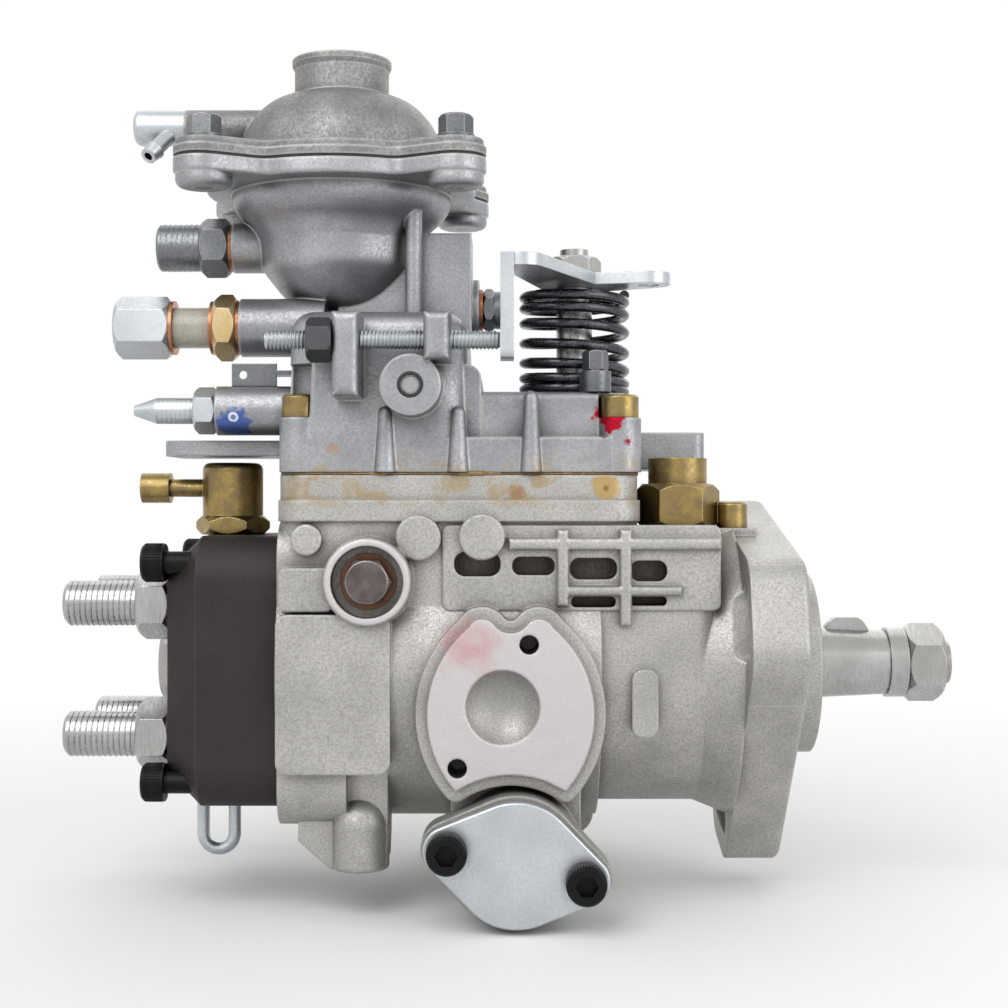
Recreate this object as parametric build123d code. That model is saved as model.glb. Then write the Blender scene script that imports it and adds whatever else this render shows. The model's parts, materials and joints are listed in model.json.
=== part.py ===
import os
from math import atan, cos, pi, radians, sin, sqrt, tan

from build123d import *

# A rotary distributor diesel injection pump. Lengths are millimetres.
# X runs along the drive shaft with the drive end at +X, Z is up and -Y is the front side.
# The origin is where the shaft axis meets the mounting face of the flange.

# fits and gaps
run_fit = 0.03
gap = 0.3
cast_round = 2.0
edge_break = 0.6
hex_turned = 0.96

# housing
body_len = 136.0
# lengths along the body are those of one 136 mm long, and grow with it
along = body_len / 136
body_r = 42.0
body_half = 38.0
neck_len = 52.0 * along
neck_r = 38.0
deck_z = 52.0
low_deck_z = 38.0
deck_end = 42.0 * along
low_deck_end = 21.0 * along
end_block_len = 18.0 * along
chamber_half = body_half - 8
chamber_floor = 26.0
chamber_head_wall = 6.0
drive_wall = 53.0 * along
cam_bore_r = 27.0
cam_bore_end = 35.0 * along
spigot_bore_r = 33.0
spigot_len = 14.0 * along
end_block_corner = 10.0
lip_z = 40.0
lip_height = 5.5
lip_out = 1.5

# raised plate on the front of the neck, its rails (x, x, z, z), pockets (x, z, width, height)
# and round pads (x, z, radius)
front_plate = (-57.0, 28.0, 72.0, 22.0)
front_proud = 0.8
rail_proud = 2.4
front_rails = (
    (-76.0, -21.0, 32.6, 35.8),
    (-63.5, -60.3, 18.0, 38.0),
    (-47.3, -44.1, 13.0, 38.0),
    (-61.4, -31.0, 20.8, 23.4),
)
front_pockets = (
    (-84.0, 29.0, 12.0, 6.4),
    (-69.5, 28.5, 11.0, 4.8),
    (-54.0, 27.8, 12.3, 5.6),
    (-39.7, 27.2, 9.6, 5.4),
    (-54.0, 19.2, 11.6, 2.8),
    (-39.8, 19.4, 9.6, 2.4),
)
pocket_depth = 6.5
disc_proud = 2.6
front_discs = ((-128.0, 35.2, 4.1), (-99.2, 35.8, 5.9), (-82.8, 36.0, 6.0))

# raised panels on the front of the body, as (x, z, width, height, corner)
side_panel = (-121.0, -4.4, 29.4, 41.0, 3.0)
side_lug = (-128.0, 22.4, 14.0, 11.2, 2.0)
neck_strip = (-40.6, -7.0, 6.8, 17.5, 2.6)
panel_proud = 1.2
strip_proud = 1.6

# side pad, where a bracket bolts on
pad_x = 75.4 * along
pad_y = body_half + 8
pad_root = 6.0
pad_rim = 3.0
pad_step = 2.0
pad_half = 21.0
pad_side_z = -5.4
pad_foot_half = 14.0
pad_foot_z = -28.6
pad_foot_notch = 4.2
pad_lobe_x = 7.4
pad_lobe_z = 15.2
pad_lobe_out = 3.4
pad_lobe_in = 3.2
pad_notch_z = 11.6
pad_hole_r = 2.5
pad_hole_depth = 14.0
pad_hole_places = ((4.7, 8.7), (-13.6, -22.8))
pad_dish_r = 9.7
pad_dish_depth = 4.5
pad_dish_x = -2.0
pad_dish_z = -7.3

# foot under the body, for the rear bracket
foot_x = 115.0 * along
foot_y = 30.0
foot_boss_r = 7.7
foot_boss_top = -40.0
foot_z = 51.5
foot_web = ((-16.0, -20.0), (-16.0, -43.8), (-7.6, -51.2), (7.2, -51.2), (7.5, -43.0), (7.5, -20.0))
foot_web_front = 33.0
foot_web_thick = 15.0
foot_hole_r = 4.0
foot_hole_depth = 12.0

# mounting flange
flange_thick = 15.0 * along
ear_pcd = 90.0
ear_r = 10.5
ear_count = 3
first_ear_angle = 162.0
slot_w = 8.5
slot_sweep = 18.0
pilot_r = 25.0
pilot_len = 8.0
flange_web_len = 10.0
flange_web_rise = 4.0

# drive shaft
shaft_r = 10.0
taper_start = 8.0
taper_len = 22.0
taper_ratio = 0.1
thread_r = 6.0
thread_len = 17.5
rotor_seat_r = 9.0
hub_r = 13.0
hub_len = 3.0
claw_len = 14.0 * along
claw_w = 8.0
claw_in = 6.0
claw_out = 12.4
cross_r = 5.6
cross_len = 7.0 * along
bush_wall = 2.0
bush_len = 24.0 * along
bush_start = 8.0
seal_r = 17.0
seal_len = 7.0
seal_start = 0.5
seal_wall = 2.0
key_r = 6.5
key_w = 4.0
key_centre_r = 7.0
key_top_r = 12.6
nut_flats = 19.0
nut_len = 10.5
washer_len = 5.0
washer_r = 9.7

# vane pump
ring_len = 15.0 * along
ring_bore_r = 20.0
ring_offset = 1.2
rotor_r = 17.5
rotor_play = 0.1
vane_w = 2.0
vane_count = 4
vane_depth = 6.4
pump_plate_len = 4.0 * along

# governor gears
gear_module = 1.5
drive_teeth = 34
driven_teeth = 28
tooth_backlash = 0.16
gear_len = 8.0 * along
gear_gap = 1.0
gear_addendum = 0.8
gear_dedendum = 1.25
pressure_angle = 20.0

# cam drive
ring_gap = 3.0 * along
roller_ring_len = 16.0 * along
roller_ring_bore_r = 15.0
roller_r = 5.5
roller_len = 8.0
roller_mid_r = 20.5
roller_out = 1.5
roller_pin_r = 1.5
lobe_count = 4
lobe_rise = 3.0
lobe_round = 14.0
cam_r = 25.5
cam_thick = 5.5
lobe_track_r = 16.0
roller_lobe_gap = 0.15

# plunger and barrel
plunger_r = 5.0
foot_r = 9.0
foot_len = 3.4
barrel_r = 11.0
barrel_out = 12.0 * along
barrel_back = 9.0
plunger_stroke_room = 6.0
plunger_bore_r = 1.2
plunger_bore_len = 25.0
collar_r = 11.0
collar_len = 12.0 * along
plunger_spring_r = 5.6
plunger_spring_wire = 1.0
plunger_spring_y = 18.5
plunger_spring_turns = 7
bridge_len = 2.2
bridge_w = 14.0

# distributor head
head_half = 36.0
head_len = 30.5
head_corner = 12.0
head_chamfer = 9.0
head_bolt_spread = head_half - 7
holder_step = 11.32
holder_pcd = 2 * sqrt(2) * (head_bolt_spread - holder_step)
holder_count = 4
holder_thread_r = 9.0
holder_depth = 16.0
holder_flats = 17.0
holder_hex_len = 9.0
holder_neck_r = 6.0
holder_neck_len = 20.0
holder_seat_r = 3.0
holder_bore_r = 1.4
spring_room_r = 3.0
valve_r = 3.6
valve_len = 9.0
valve_room = 1.5
valve_bore_r = 1.2
plug_flats = 20.0
plug_hex_len = 6.0
plug_thread_r = 8.5
screw_thread_r = 3.0
socket_head_r = 5.0
socket_head_len = 6.0
socket_flats = 5.0
socket_depth = 3.5
head_bolt_grip = 14.0

# shut-off solenoid
solenoid_back = 17.4
solenoid_r = 8.4
solenoid_flats = 18.0
solenoid_hex_len = 5.2
solenoid_room = 1.6
solenoid_thread_r = 7.0
solenoid_thread_len = 12.0
solenoid_pin_r = 3.0
solenoid_pin_len = 18.0
solenoid_lift = 1.5
terminal_r = 2.5
terminal_len = 9.0
terminal_drop = 7.0
terminal_cap_r = 4.2
terminal_cap_len = 8.0

# lifting eye
eye_back = 23.0
eye_y = 10.0
eye_r = 4.5
eye_rod_r = 1.8
eye_drop = 14.0
eye_sunk = 6.0

# timing device
timing_x = 74.0 * along
timing_z = 46.0
timing_bore_r = 12.0
timing_boss_r = 17.0
timing_half = body_half + 12
piston_front = 30.0
piston_len = 52.0
piston_travel = 8.0
timing_pin_r = 4.0
timing_pin_room = 0.2
timing_tilt = 12.2
timing_screw_grip = 12.0
timing_screw_spacing = 35.5
timing_cover_r = 16.0
timing_ear_r = 6.2
timing_cover_thick = 4.0
timing_lug_len = 9.0
timing_tower_top = 20.0
timing_spring_r = 8.0
timing_spring_wire = 1.2
timing_spring_turns = 6
timing_spring_bore_r = 10.0
timing_spring_room = 14.0

# governor
governor_shaft_r = 4.0
governor_shaft_len = 44.0 * along
governor_shaft_grip = 9.5
cage_r = 18.5
cage_wall = 1.2
cage_len = 18.0 * along
cage_base = 2.5
cage_window = 60.0
weight_count = 4
weight_len = 12.0 * along
weight_w = 9.0
weight_in = 8.0
weight_out = 15.5
toe_in = 6.2
sleeve_r = 5.4
sleeve_flange_r = 7.5
sleeve_len = 33.0 * along
sleeve_travel = 2.4
sleeve_tip_r = 3.2
sleeve_rim = 2.0
lever_x = 112.0 * along
lever_z = 24.6
lever_thick = 3.0
lever_w = 13.0
lever_top = 69.6
lever_hub_r = 5.0
lever_hub_half = 12.0
lever_foot = 4.0
lever_button_r = 4.0
lever_button = 1.5
lever_room_left = 9.0
lever_room_right = 12.0
lever_room_depth = 7.0
ball_neck_r = 2.0
lever_ball_r = 2.4
lever_ball_z = 9.4
pivot_pin_r = 2.5
governor_spring_r = 1.7
governor_spring_wire = 0.4
governor_spring_z = 67.5
governor_spring_turns = 14
eccentric = 7.4
eccentric_r = 2.0
eccentric_pin_r = 0.9
eccentric_pin_low = 1.5

# lever pivot bolts in the housing sides
pivot_boss_r = 11.4
pivot_recess_r = 9.3
pivot_recess = 5.0
pivot_thread_r = 4.0
pivot_flats = 11.2
pivot_head_len = 5.0
washer_thick = 1.0
pivot_washer_r = 7.2

# governor cover
cover_flange = 9.0
gasket_thick = 0.8
cover_corner = 8.0
cover_low_z = 74.0
cover_low_half = body_half - 4
cover_wall = 3.7
pedestal_left = 134.0 * along
pedestal_right = 86.0 * along
pedestal_half = body_half
pedestal_top = 95.0
pedestal_round = 6.0
pedestal_taper = 2.0
cover_bolt_left = body_len - 5.7
cover_bolt_right = deck_end + 4.8
cover_bolt_y = body_half - 5.2
cover_bolt_seat = 67.0
cover_boss_r = 5.6
cover_screw_depth = 12.0
cover_rib_places = ((-107.9, 68.0), (-89.0, 68.0), (-70.1, 72.0))
cover_rib_low_r = 3.0
cover_rib_high_r = 1.9
cover_rib_inset = 0.6
cover_low_taper = 3.0
shoulder_top = 81.0
shoulder_out = 3.0
shoulder_root = 5.0
shoulder_inset = 4.0
shoulder_back = 20.0
tail_low_y = 4.0
tail_high_y = 33.0
tail_rise = 3.0
column_x = 101.7
column_y = 16.0
column_r = 2.3
column_low = 93.0
column_top = 124.0
neck_box_half = 11.0
neck_box_low = 90.0
neck_box_top = 119.0
ledge_reach = body_len + 34
ledge_half = 15.0
ledge_thick = 4.2

# compensator
comp_x = 122.7 * along
comp_r = 37.5
comp_ear_r = 8.0
comp_root_r = 13.0
comp_root_share = 0.62
comp_blend = 5.0
comp_boss_low = 127.2
bowl_flange_z = 130.6
bowl_split_z = 134.8
membrane_thick = 0.8
comp_cover_flange = 4.3
comp_band = 2.2
comp_step = 0.7
bowl_r = 30.6
bowl_band = ((23.0, 117.3), (22.4, 111.5))
bowl_belly = ((30.4, 128.0), (28.1, 124.2))
bowl_under = ((20.7, 108.0), (16.1, 102.4))
bowl_foot_r = 9.2
bowl_foot_z = 97.8
bowl_room_r = 26.0
bowl_room_low_r = 18.0
bowl_room_cone = 9.0
bowl_floor = 119.0
dome_r = 28.6
shoulder_r = 26.4
shoulder_rise = 9.0
crown_r = 21.8
crown_rise = 14.8
neck_outer_r = 13.2
neck_base_rise = 18.8
neck_top_rise = 28.8
neck_wall_r = 11.6
neck_well = 4.0
lip_r = 13.9
lip_height_top = 1.5
dome_wall = 4.0
dome_room = 17.0
dome_room_r = 15.0
comp_screw_spread = 33.0
comp_screw_head = 6.4
comp_screw_collar = 1.2
comp_screw_collar_r = 5.0
comp_screw_r = 2.5
comp_head_flats = 8.0
comp_pin_r = 5.0
comp_travel = 5.0
feeler_travel = 1.5
feeler_z = 99.0
feeler_r = 2.5
comp_pin_low = 84.0
comp_neck_r = 2.6
comp_plate_r = 19.0
comp_plate_thick = 1.2
comp_nut_r = 4.0
comp_nut_len = 3.8
membrane_bore_r = 22.0
comp_spring_r = 13.0
comp_spring_wire = 1.1
comp_spring_turns = 3

# reverse lever
reverse_x = comp_x - 21.9
reverse_z = 74.7
reverse_pin_r = 2.2
reverse_boss_r = 7.8
reverse_boss_out = 11.0
reverse_thick = 3.0
reverse_w = 12.0
reverse_low = 60.0
reverse_hub_r = 4.2
reverse_pin_end = 11.0
fork_half = 3.4
fork_top = 71.5

# fittings on the cover
return_z = 93.0
return_y = 10.0
return_boss_r = 8.0
return_boss_end = pedestal_left + 15.3
return_nut_flats = 16.0
return_nut_len = 6.2
return_sleeve_r = 5.6
return_sleeve_len = 10.0
return_bolt_flats = 15.0
return_bolt_len = 15.0
return_bolt_r = 4.0
return_depth = 10.0
vent_z = 116.5
vent_end = comp_x + 30.3
vent_flats = 14.5
vent_hex_len = 8.0
vent_r = 6.5
vent_len = 12.0
vent_bore_r = 2.0
vent_boss_r = 7.0
vent_stem_r = 4.0
vent_depth = 8.0
full_load_z = 69.5
full_load_y = 22.0
full_load_boss_r = 6.6
full_load_boss_end = pedestal_left + 19.9
full_load_r = 3.5
full_load_tip = full_load_boss_end + 22.3
full_load_flats = 11.0
full_load_nut_len = 6.0
full_load_point_r = 1.4
full_load_point_len = 6.0
stop_y = body_half + 10
stop_z = 86.0
stop_screw_r = 2.5
stop_flats = 10.0
stop_nut_len = 6.6
lug_left = pedestal_left - 17
lug_right = pedestal_right + 8
stop_left = lug_left + 20.5
lug_left_low = 71.6
lug_right_low = 80.9
lug_top = 93.0
lug_thick = 6.8
lug_out = 4.5
bracket_left = full_load_boss_end - 3.9
bracket_bend = pedestal_left + 4
bracket_thick = 1.2
bracket_height = 6.0
bracket_hole_r = 1.1
side_plug_x = pedestal_right - 2
side_plug_flats = 10.5
side_plug_hex_len = 3.4
side_plug_tail = 2.2
side_plug_r = 4.0
side_plug_depth = 8.0
side_barrel_r = 8.5
elbow_z = 150.3
elbow_r = 5.0
elbow_split = comp_x + 43.7
elbow_end = elbow_split + 14.5
elbow_bore_r = 1.6
nipple_r = 2.2
nipple_len = 15.0
nipple_bore_r = 1.2
nipple_root = 3.0
nipple_way = (-0.39, -0.64, -0.66)

# throttle
throttle_x = 57.5 * along
throttle_y = 4.0
throttle_shaft_r = 5.0
throttle_range = 45.0
throttle_stud_r = 4.0
throttle_collar_r = 7.5
throttle_collar_len = 2.2
arm_thick = 1.1
throttle_boss_r = 9.5
throttle_boss_top = 78.0
throttle_lever_z = 104.5
throttle_lever_thick = 3.2
tab_thick = 3.4
tab_low = 81.0
tab_w = 11.0
tab_x = throttle_x + 20.5
lever_hub = 9.0
lever_tip_r = 5.5
link_reach = 20.0
link_side = 8.0
link_end_r = 6.0
link_hole_r = 3.0
lever_nut_flats = 13.0
lever_nut_len = 5.5
return_spring_r = 14.0
return_spring_wire = 1.4
return_spring_turns = 7
anchor_x = 53.0 * along
anchor_y = body_half - 9
anchor_flats = 6.0
anchor_hex_low = 79.5
anchor_hex_top = 85.0
anchor_body_r = 4.2
anchor_thread_r = 2.0

# fuel inlet
inlet_x = 29.5 * along
inlet_y = 12.0
inlet_flats = 20.0
inlet_len = 12.0
inlet_bore_r = 5.0
inlet_thread_r = 6.0
inlet_neck_r = 8.0
inlet_neck_len = 7.0
inlet_depth = 10.0
valve_plug_x = 14.6 * along
valve_plug_r = 4.2
valve_plug_len = 7.0
valve_thread_r = 3.4
valve_depth = 6.0
valve_socket_flats = 5.0
valve_socket_depth = 3.0
valve_pad_half = 6.0


def round_x(radius, x_low, x_high, y=0.0, z=0.0):
    return Pos((x_low + x_high) / 2, y, z) * Rot(0, 90, 0) * Cylinder(radius, x_high - x_low)


def round_y(radius, y_low, y_high, x=0.0, z=0.0):
    return Pos(x, (y_low + y_high) / 2, z) * Rot(90, 0, 0) * Cylinder(radius, y_high - y_low)


def round_z(radius, z_low, z_high, x=0.0, y=0.0):
    return Pos(x, y, (z_low + z_high) / 2) * Cylinder(radius, z_high - z_low)


def block(x_low, x_high, y_low, y_high, z_low, z_high):
    middle = Pos((x_low + x_high) / 2, (y_low + y_high) / 2, (z_low + z_high) / 2)
    return middle * Box(x_high - x_low, y_high - y_low, z_high - z_low)


# a hexagon whose corners are turned off by a cone at each end, standing along +Z
def hexagon(flats, length):
    prism = extrude(RegularPolygon(flats / 2, 6, major_radius=False), length)
    corner_r = flats / sqrt(3)
    rims = Cylinder(corner_r, length).edges().filter_by(GeomType.CIRCLE)
    turned = chamfer(rims, corner_r - hex_turned * flats / 2)
    return prism & Pos(0, 0, length / 2) * turned


def hex_x(flats, x_low, x_high, y=0.0, z=0.0):
    return Pos(x_low, y, z) * Rot(0, 90, 0) * hexagon(flats, x_high - x_low)


def hex_y(flats, y_low, y_high, x=0.0, z=0.0):
    return Pos(x, y_high, z) * Rot(90, 0, 0) * Rot(0, 0, 30) * hexagon(flats, y_high - y_low)


def hex_z(flats, z_low, z_high, x=0.0, y=0.0):
    return Pos(x, y, z_low) * hexagon(flats, z_high - z_low)


# sketch plane facing the front, with local x along X and local y along Z
def front_plane(y):
    return Plane(origin=(0, y, 0), x_dir=(1, 0, 0), z_dir=(0, -1, 0))


# sketch plane facing the drive end, with local x along Y and local y along Z
def side_plane(x):
    return Plane(origin=(x, 0, 0), x_dir=(0, 1, 0), z_dir=(1, 0, 0))


# an extruded sketch on the front side, from y_face inwards
def front_slab(sketch, y_face, depth):
    return extrude(front_plane(y_face) * sketch, -depth)


def mirrored(shape):
    return mirror(shape, about=Plane.XZ)


# a coil spring standing along +Z from the origin
def coil(mean_r, wire_r, length, turns):
    height = length - 2 * wire_r
    path = Helix(pitch=height / turns, height=height, radius=mean_r)
    section = Plane(origin=path @ 0, z_dir=path % 0) * RegularPolygon(wire_r, 6)
    return Pos(0, 0, wire_r) * sweep(section, path=path)


# socket screw standing along +Z, head up, with the underside of its head at the origin
def socket_screw(thread, grip):
    head = Pos(0, 0, socket_head_len / 2) * Cylinder(socket_head_r, socket_head_len)
    head = chamfer(head.edges().group_by(Axis.Z)[-1], edge_break)
    socket = RegularPolygon(socket_flats / 2, 6, major_radius=False)
    hole = Pos(0, 0, socket_head_len - socket_depth) * extrude(socket, socket_depth)
    return head - hole + Pos(0, 0, -grip / 2) * Cylinder(thread, grip)


# places worked out from the sizes above
head_face = -body_len
head_end = head_face - head_len
ear_centre_r = ear_pcd / 2
gear_drive_r = gear_module * drive_teeth / 2
gear_driven_r = gear_module * driven_teeth / 2
governor_z = gear_drive_r + gear_driven_r
plate_end = -cam_bore_end - ring_len - pump_plate_len
gear_right = plate_end - gear_gap
gear_left = gear_right - gear_len
hub_left = gear_left - hub_len
roller_ring_right = gear_left - ring_gap
roller_ring_left = roller_ring_right - roller_ring_len
roller_x = roller_ring_left + roller_r - roller_out
lobe_peak = roller_x - roller_r - roller_lobe_gap
cam_face = lobe_peak - lobe_rise
cam_back = cam_face - cam_thick
foot_back = cam_back - foot_len
barrel_face = head_face + barrel_out
barrel_end = head_end + barrel_back
cage_right = gear_left
weight_right = cage_right - cage_base - gap
sleeve_right = weight_right - weight_len / 4 - gap
sleeve_left = sleeve_right - sleeve_len
lever_arm_right = sleeve_left - sleeve_tip_r - gap
cover_bottom = deck_z + gasket_thick
cover_flange_top = cover_bottom + cover_flange
taper_end_r = shaft_r - taper_len * taper_ratio / 2
taper_end = taper_start + taper_len
membrane_z = bowl_split_z + membrane_thick
comp_top = membrane_z + comp_cover_flange
cover_inner_top = cover_low_z - cover_wall
governor_shaft_right = governor_shaft_grip - drive_wall
full_load_right = -pedestal_left + 8
stop_right = tab_x + 0.1
solenoid_len = cover_flange_top - ledge_thick - solenoid_room - head_half
valve_left = head_end + holder_depth - gap - valve_len
comp_cone_low = feeler_z - feeler_r - 1
pad_holes = [(x - pad_x, z) for x, z in pad_hole_places]


def ear_angles():
    return [first_ear_angle - index * 360 / ear_count for index in range(ear_count)]


# the ears' ends are rounded about the ends of their slots
def flange_sketch():
    ends = [radians(angle + side * slot_sweep / 2) for angle in ear_angles() for side in (-1, 1)]
    rounds = [Pos(ear_centre_r * cos(end), ear_centre_r * sin(end)) * Circle(ear_r) for end in ends]
    return make_hull([edge for circle in rounds for edge in circle.edges()])


def flange_slot(angle):
    arc = CenterArc((0, 0), ear_centre_r, angle - slot_sweep / 2, slot_sweep)
    return SlotArc(arc, slot_w)


def make_flange():
    plate = extrude(side_plane(0) * flange_sketch(), -flange_thick)
    plate = fillet(plate.edges().group_by(Axis.X)[-1], cast_round)
    web_left = -flange_thick - flange_web_len
    web = Cone(neck_r, neck_r + flange_web_rise, flange_web_len)
    web = Pos(web_left + flange_web_len / 2, 0, 0) * Rot(0, 90, 0) * web
    plate += web & block(web_left, -flange_thick, -body_r, body_r, -body_r, low_deck_z)
    for angle in ear_angles():
        plate -= extrude(side_plane(1) * flange_slot(angle), web_left - 2)
    return plate + round_x(pilot_r, -1, pilot_len)


# the upright rounded box that carries the governor chamber
def make_upper_body():
    deck_len = body_len - deck_end
    middle = -deck_end - deck_len / 2
    upper = extrude(Pos(middle, 0) * RectangleRounded(deck_len, 2 * body_half, cover_corner), deck_z)
    low_deck = block(-deck_end - cover_corner, -low_deck_end, -body_half, body_half, 0, low_deck_z)
    upper += fillet(low_deck.edges().group_by(Axis.X)[-1].filter_by(Axis.Z), 3 * cast_round)
    lip_plan = RectangleRounded(deck_len + 2 * edge_break, 2 * (body_half + lip_out), cover_corner)
    lip = Pos(middle, 0, lip_z) * extrude(lip_plan, lip_height)
    return upper + lip & block(-body_len, 0, -body_r, body_r, 0, deck_z)


def make_end_block():
    square = RectangleRounded(2 * body_half, 2 * body_half + 4, end_block_corner)
    return extrude(side_plane(head_face) * square, end_block_len)


# butterfly outline of the pad, with a notch between its two upper lobes
def pad_outline():
    lobe_out = (pad_lobe_x + pad_lobe_out, pad_lobe_z - 0.65 * pad_lobe_out)
    lobe_top = (pad_lobe_x, pad_lobe_z)
    lobe_in = (pad_lobe_x - pad_lobe_in, pad_lobe_z - 0.45 * pad_lobe_in)
    side = (pad_half, pad_side_z)
    foot = (pad_foot_half, pad_foot_z)
    edges = [ThreePointArc(foot, side, lobe_out), ThreePointArc(lobe_out, lobe_top, lobe_in)]
    edges += [mirror(edge, about=Plane.YZ) for edge in edges]
    edges.append(ThreePointArc(lobe_in, (0, pad_notch_z), (-lobe_in[0], lobe_in[1])))
    edges.append(ThreePointArc(foot, (0, pad_foot_z + pad_foot_notch), (-foot[0], foot[1])))
    return Pos(-pad_x, 0) * make_face(edges)


def make_pad():
    outline = pad_outline()
    depth = pad_y - body_half + pad_root
    raised = front_slab(outline, -pad_y, depth)
    step = front_slab(offset(outline, pad_rim, kind=Kind.ARC), -pad_y + pad_step, depth - pad_step)
    return raised + step


def pad_cuts():
    ball_r = (pad_dish_r ** 2 + pad_dish_depth ** 2) / (2 * pad_dish_depth)
    cuts = Pos(pad_dish_x - pad_x, pad_dish_depth - pad_y - ball_r, pad_dish_z) * Sphere(ball_r)
    for x, z in pad_holes:
        cuts += round_y(pad_hole_r, -pad_y - 1, -pad_y + pad_hole_depth, x, z)
    return cuts


# cast pads and rails on the front side, and the pockets between them
def make_front_casting():
    face = -body_half - front_proud
    x, z, width, height = front_plate
    plate = front_slab(Pos(x * along, z) * RectangleRounded(width * along, height, cast_round), face, 8)
    for left, right, low, high in front_rails:
        rail = block(left * along, right * along, face - rail_proud, face + 1, low, high)
        plate += fillet(rail.edges().group_by(Axis.Y)[0], 2 * edge_break)
    for x, z, radius in front_discs:
        disc = round_y(radius, face - disc_proud, face + 4, x * along, z)
        plate += fillet(disc.edges().group_by(Axis.Y)[0], edge_break)
    return plate


def make_front_pockets():
    pockets = Part()
    for x, z, width, height in front_pockets:
        outline = Pos(x * along, z) * RectangleRounded(width, height, 0.45 * height)
        pockets += front_slab(outline, -body_half - front_proud - 1, pocket_depth + 1)
    return pockets


def front_panel(sizes, y_face, depth):
    x, z, width, height, corner = sizes
    return front_slab(Pos(x * along, z) * RectangleRounded(width, height, corner), y_face, depth)


def make_side_bosses():
    boss = round_y(pivot_boss_r, -pad_y, -body_half, -lever_x, lever_z)
    boss = fillet(boss.edges().group_by(Axis.Y)[0], cast_round / 2)
    panels = front_panel(side_panel, -body_r - panel_proud, 6) + front_panel(side_lug, -body_r, 6)
    return boss + mirrored(boss) + panels + front_panel(neck_strip, -neck_r - strip_proud, 10)


def make_foot():
    boss = round_z(foot_boss_r, -foot_z, foot_boss_top, -foot_x, -foot_y)
    boss = fillet(boss.edges().group_by(Axis.Z)[0], 2 * edge_break)
    boss += Pos(-foot_x, -foot_y, foot_boss_top) * Sphere(foot_boss_r)
    outline = Pos(-foot_x, 0) * make_face(Polyline(*foot_web, close=True))
    web = front_slab(outline, -foot_web_front, foot_web_thick)
    return boss + fillet(web.edges().filter_by(Axis.Y).group_by(Axis.Z)[0], cast_round)


# places on the timing cover, from the middle of the bore
def timing_screw_places():
    for side in (-1, 1):
        reach = side * timing_screw_spacing / 2
        yield -timing_x + reach * cos(radians(timing_tilt)), -timing_z - reach * sin(radians(timing_tilt))


def timing_sketch(cap_r, lug_r):
    circles = [Pos(-timing_x, -timing_z) * Circle(cap_r)]
    circles += [Pos(x, z) * Circle(lug_r) for x, z in timing_screw_places()]
    return make_hull([edge for circle in circles for edge in circle.edges()])


def make_timing_boss():
    tube = round_y(timing_boss_r, -timing_half, timing_half, -timing_x, -timing_z)
    outline = timing_sketch(timing_boss_r, timing_ear_r + edge_break)
    ears = extrude(front_plane(-timing_half) * outline, -timing_lug_len)
    left = -timing_x - timing_boss_r
    right = -timing_x + timing_boss_r
    tower = block(left, right, 4 - body_half, body_half - 4, -timing_z, -timing_tower_top)
    return tube + ears + mirrored(ears) + tower


def chamber_outline():
    left = -body_len + chamber_head_wall
    chamber = RectangleRounded(-left - drive_wall, 2 * chamber_half, cover_corner - 3)
    return Pos((left - drive_wall) / 2, 0) * chamber


def make_lever_room():
    left = -lever_x - lever_room_left
    right = -lever_x + lever_room_right
    room = block(left, right, -chamber_half, chamber_half, lever_z - lever_room_depth, chamber_floor + 1)
    return fillet(room.edges().filter_by(Axis.X).group_by(Axis.Z)[0], 5)


def make_gear_room():
    room_r = gear_driven_r + gear_addendum * gear_module + 2 * gap
    room = round_x(room_r, gear_left - 1, -drive_wall, 0, governor_z)
    return room & block(-body_len, 0, -body_r, body_r, 0, deck_z)


def housing_hollows():
    hollow = round_x(cam_bore_r, head_face - 1, -cam_bore_end)
    hollow += round_x(spigot_bore_r, head_face - 1, head_face + spigot_len)
    hollow += Pos(0, 0, chamber_floor) * extrude(chamber_outline(), deck_z)
    hollow += make_lever_room() + make_gear_room()
    hollow += round_x(shaft_r + bush_wall, -cam_bore_end - 1, 1)
    hollow += round_x(seal_r, seal_start, pilot_len + 1)
    hollow += round_y(timing_bore_r, -timing_half - 1, timing_half + 1, -timing_x, -timing_z)
    room = timing_pin_r + 1.5
    hollow += block(-timing_x - room, -timing_x + room, -room, room + piston_travel, -timing_z, 0)
    return hollow + round_x(governor_shaft_r, -drive_wall - 1, governor_shaft_right, 0, governor_z)


def cover_bolt_places():
    return [(x, y) for x in (-cover_bolt_left, -cover_bolt_right) for y in (-cover_bolt_y, cover_bolt_y)]


def head_bolt_places():
    spread = (-head_bolt_spread, head_bolt_spread)
    return [(y, z) for y in spread for z in spread]


def housing_screw_holes():
    holes = Part()
    for y, z in head_bolt_places():
        holes += round_x(screw_thread_r, head_face - 1, head_face + head_bolt_grip, y, z)
    for x, y in cover_bolt_places():
        holes += round_z(screw_thread_r, deck_z - cover_screw_depth, deck_z + 1, x, y)
    for x, z in timing_screw_places():
        hole = round_y(screw_thread_r, -timing_half - 1, -timing_half + timing_screw_grip, x, z)
        holes += hole + mirrored(hole)
    recess = round_y(pivot_recess_r, -pad_y - 1, -pad_y + pivot_recess, -lever_x, lever_z)
    recess += round_y(pivot_thread_r, -pad_y, -chamber_half + 1, -lever_x, lever_z)
    holes += recess + mirrored(recess)
    holes += round_z(foot_hole_r, -foot_z - 1, -foot_z + foot_hole_depth, -foot_x, -foot_y)
    holes += round_z(inlet_thread_r, low_deck_z - inlet_depth, low_deck_z + 1, -inlet_x, -inlet_y)
    holes += round_z(valve_thread_r, low_deck_z - valve_depth, low_deck_z + 1, -valve_plug_x, -inlet_y)
    return holes


def make_valve_pad():
    right = -valve_plug_x + valve_pad_half
    front = -inlet_y - valve_pad_half
    return block(-low_deck_end - 1, right, front, front + 2 * valve_pad_half, low_deck_z / 2, low_deck_z)


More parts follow.
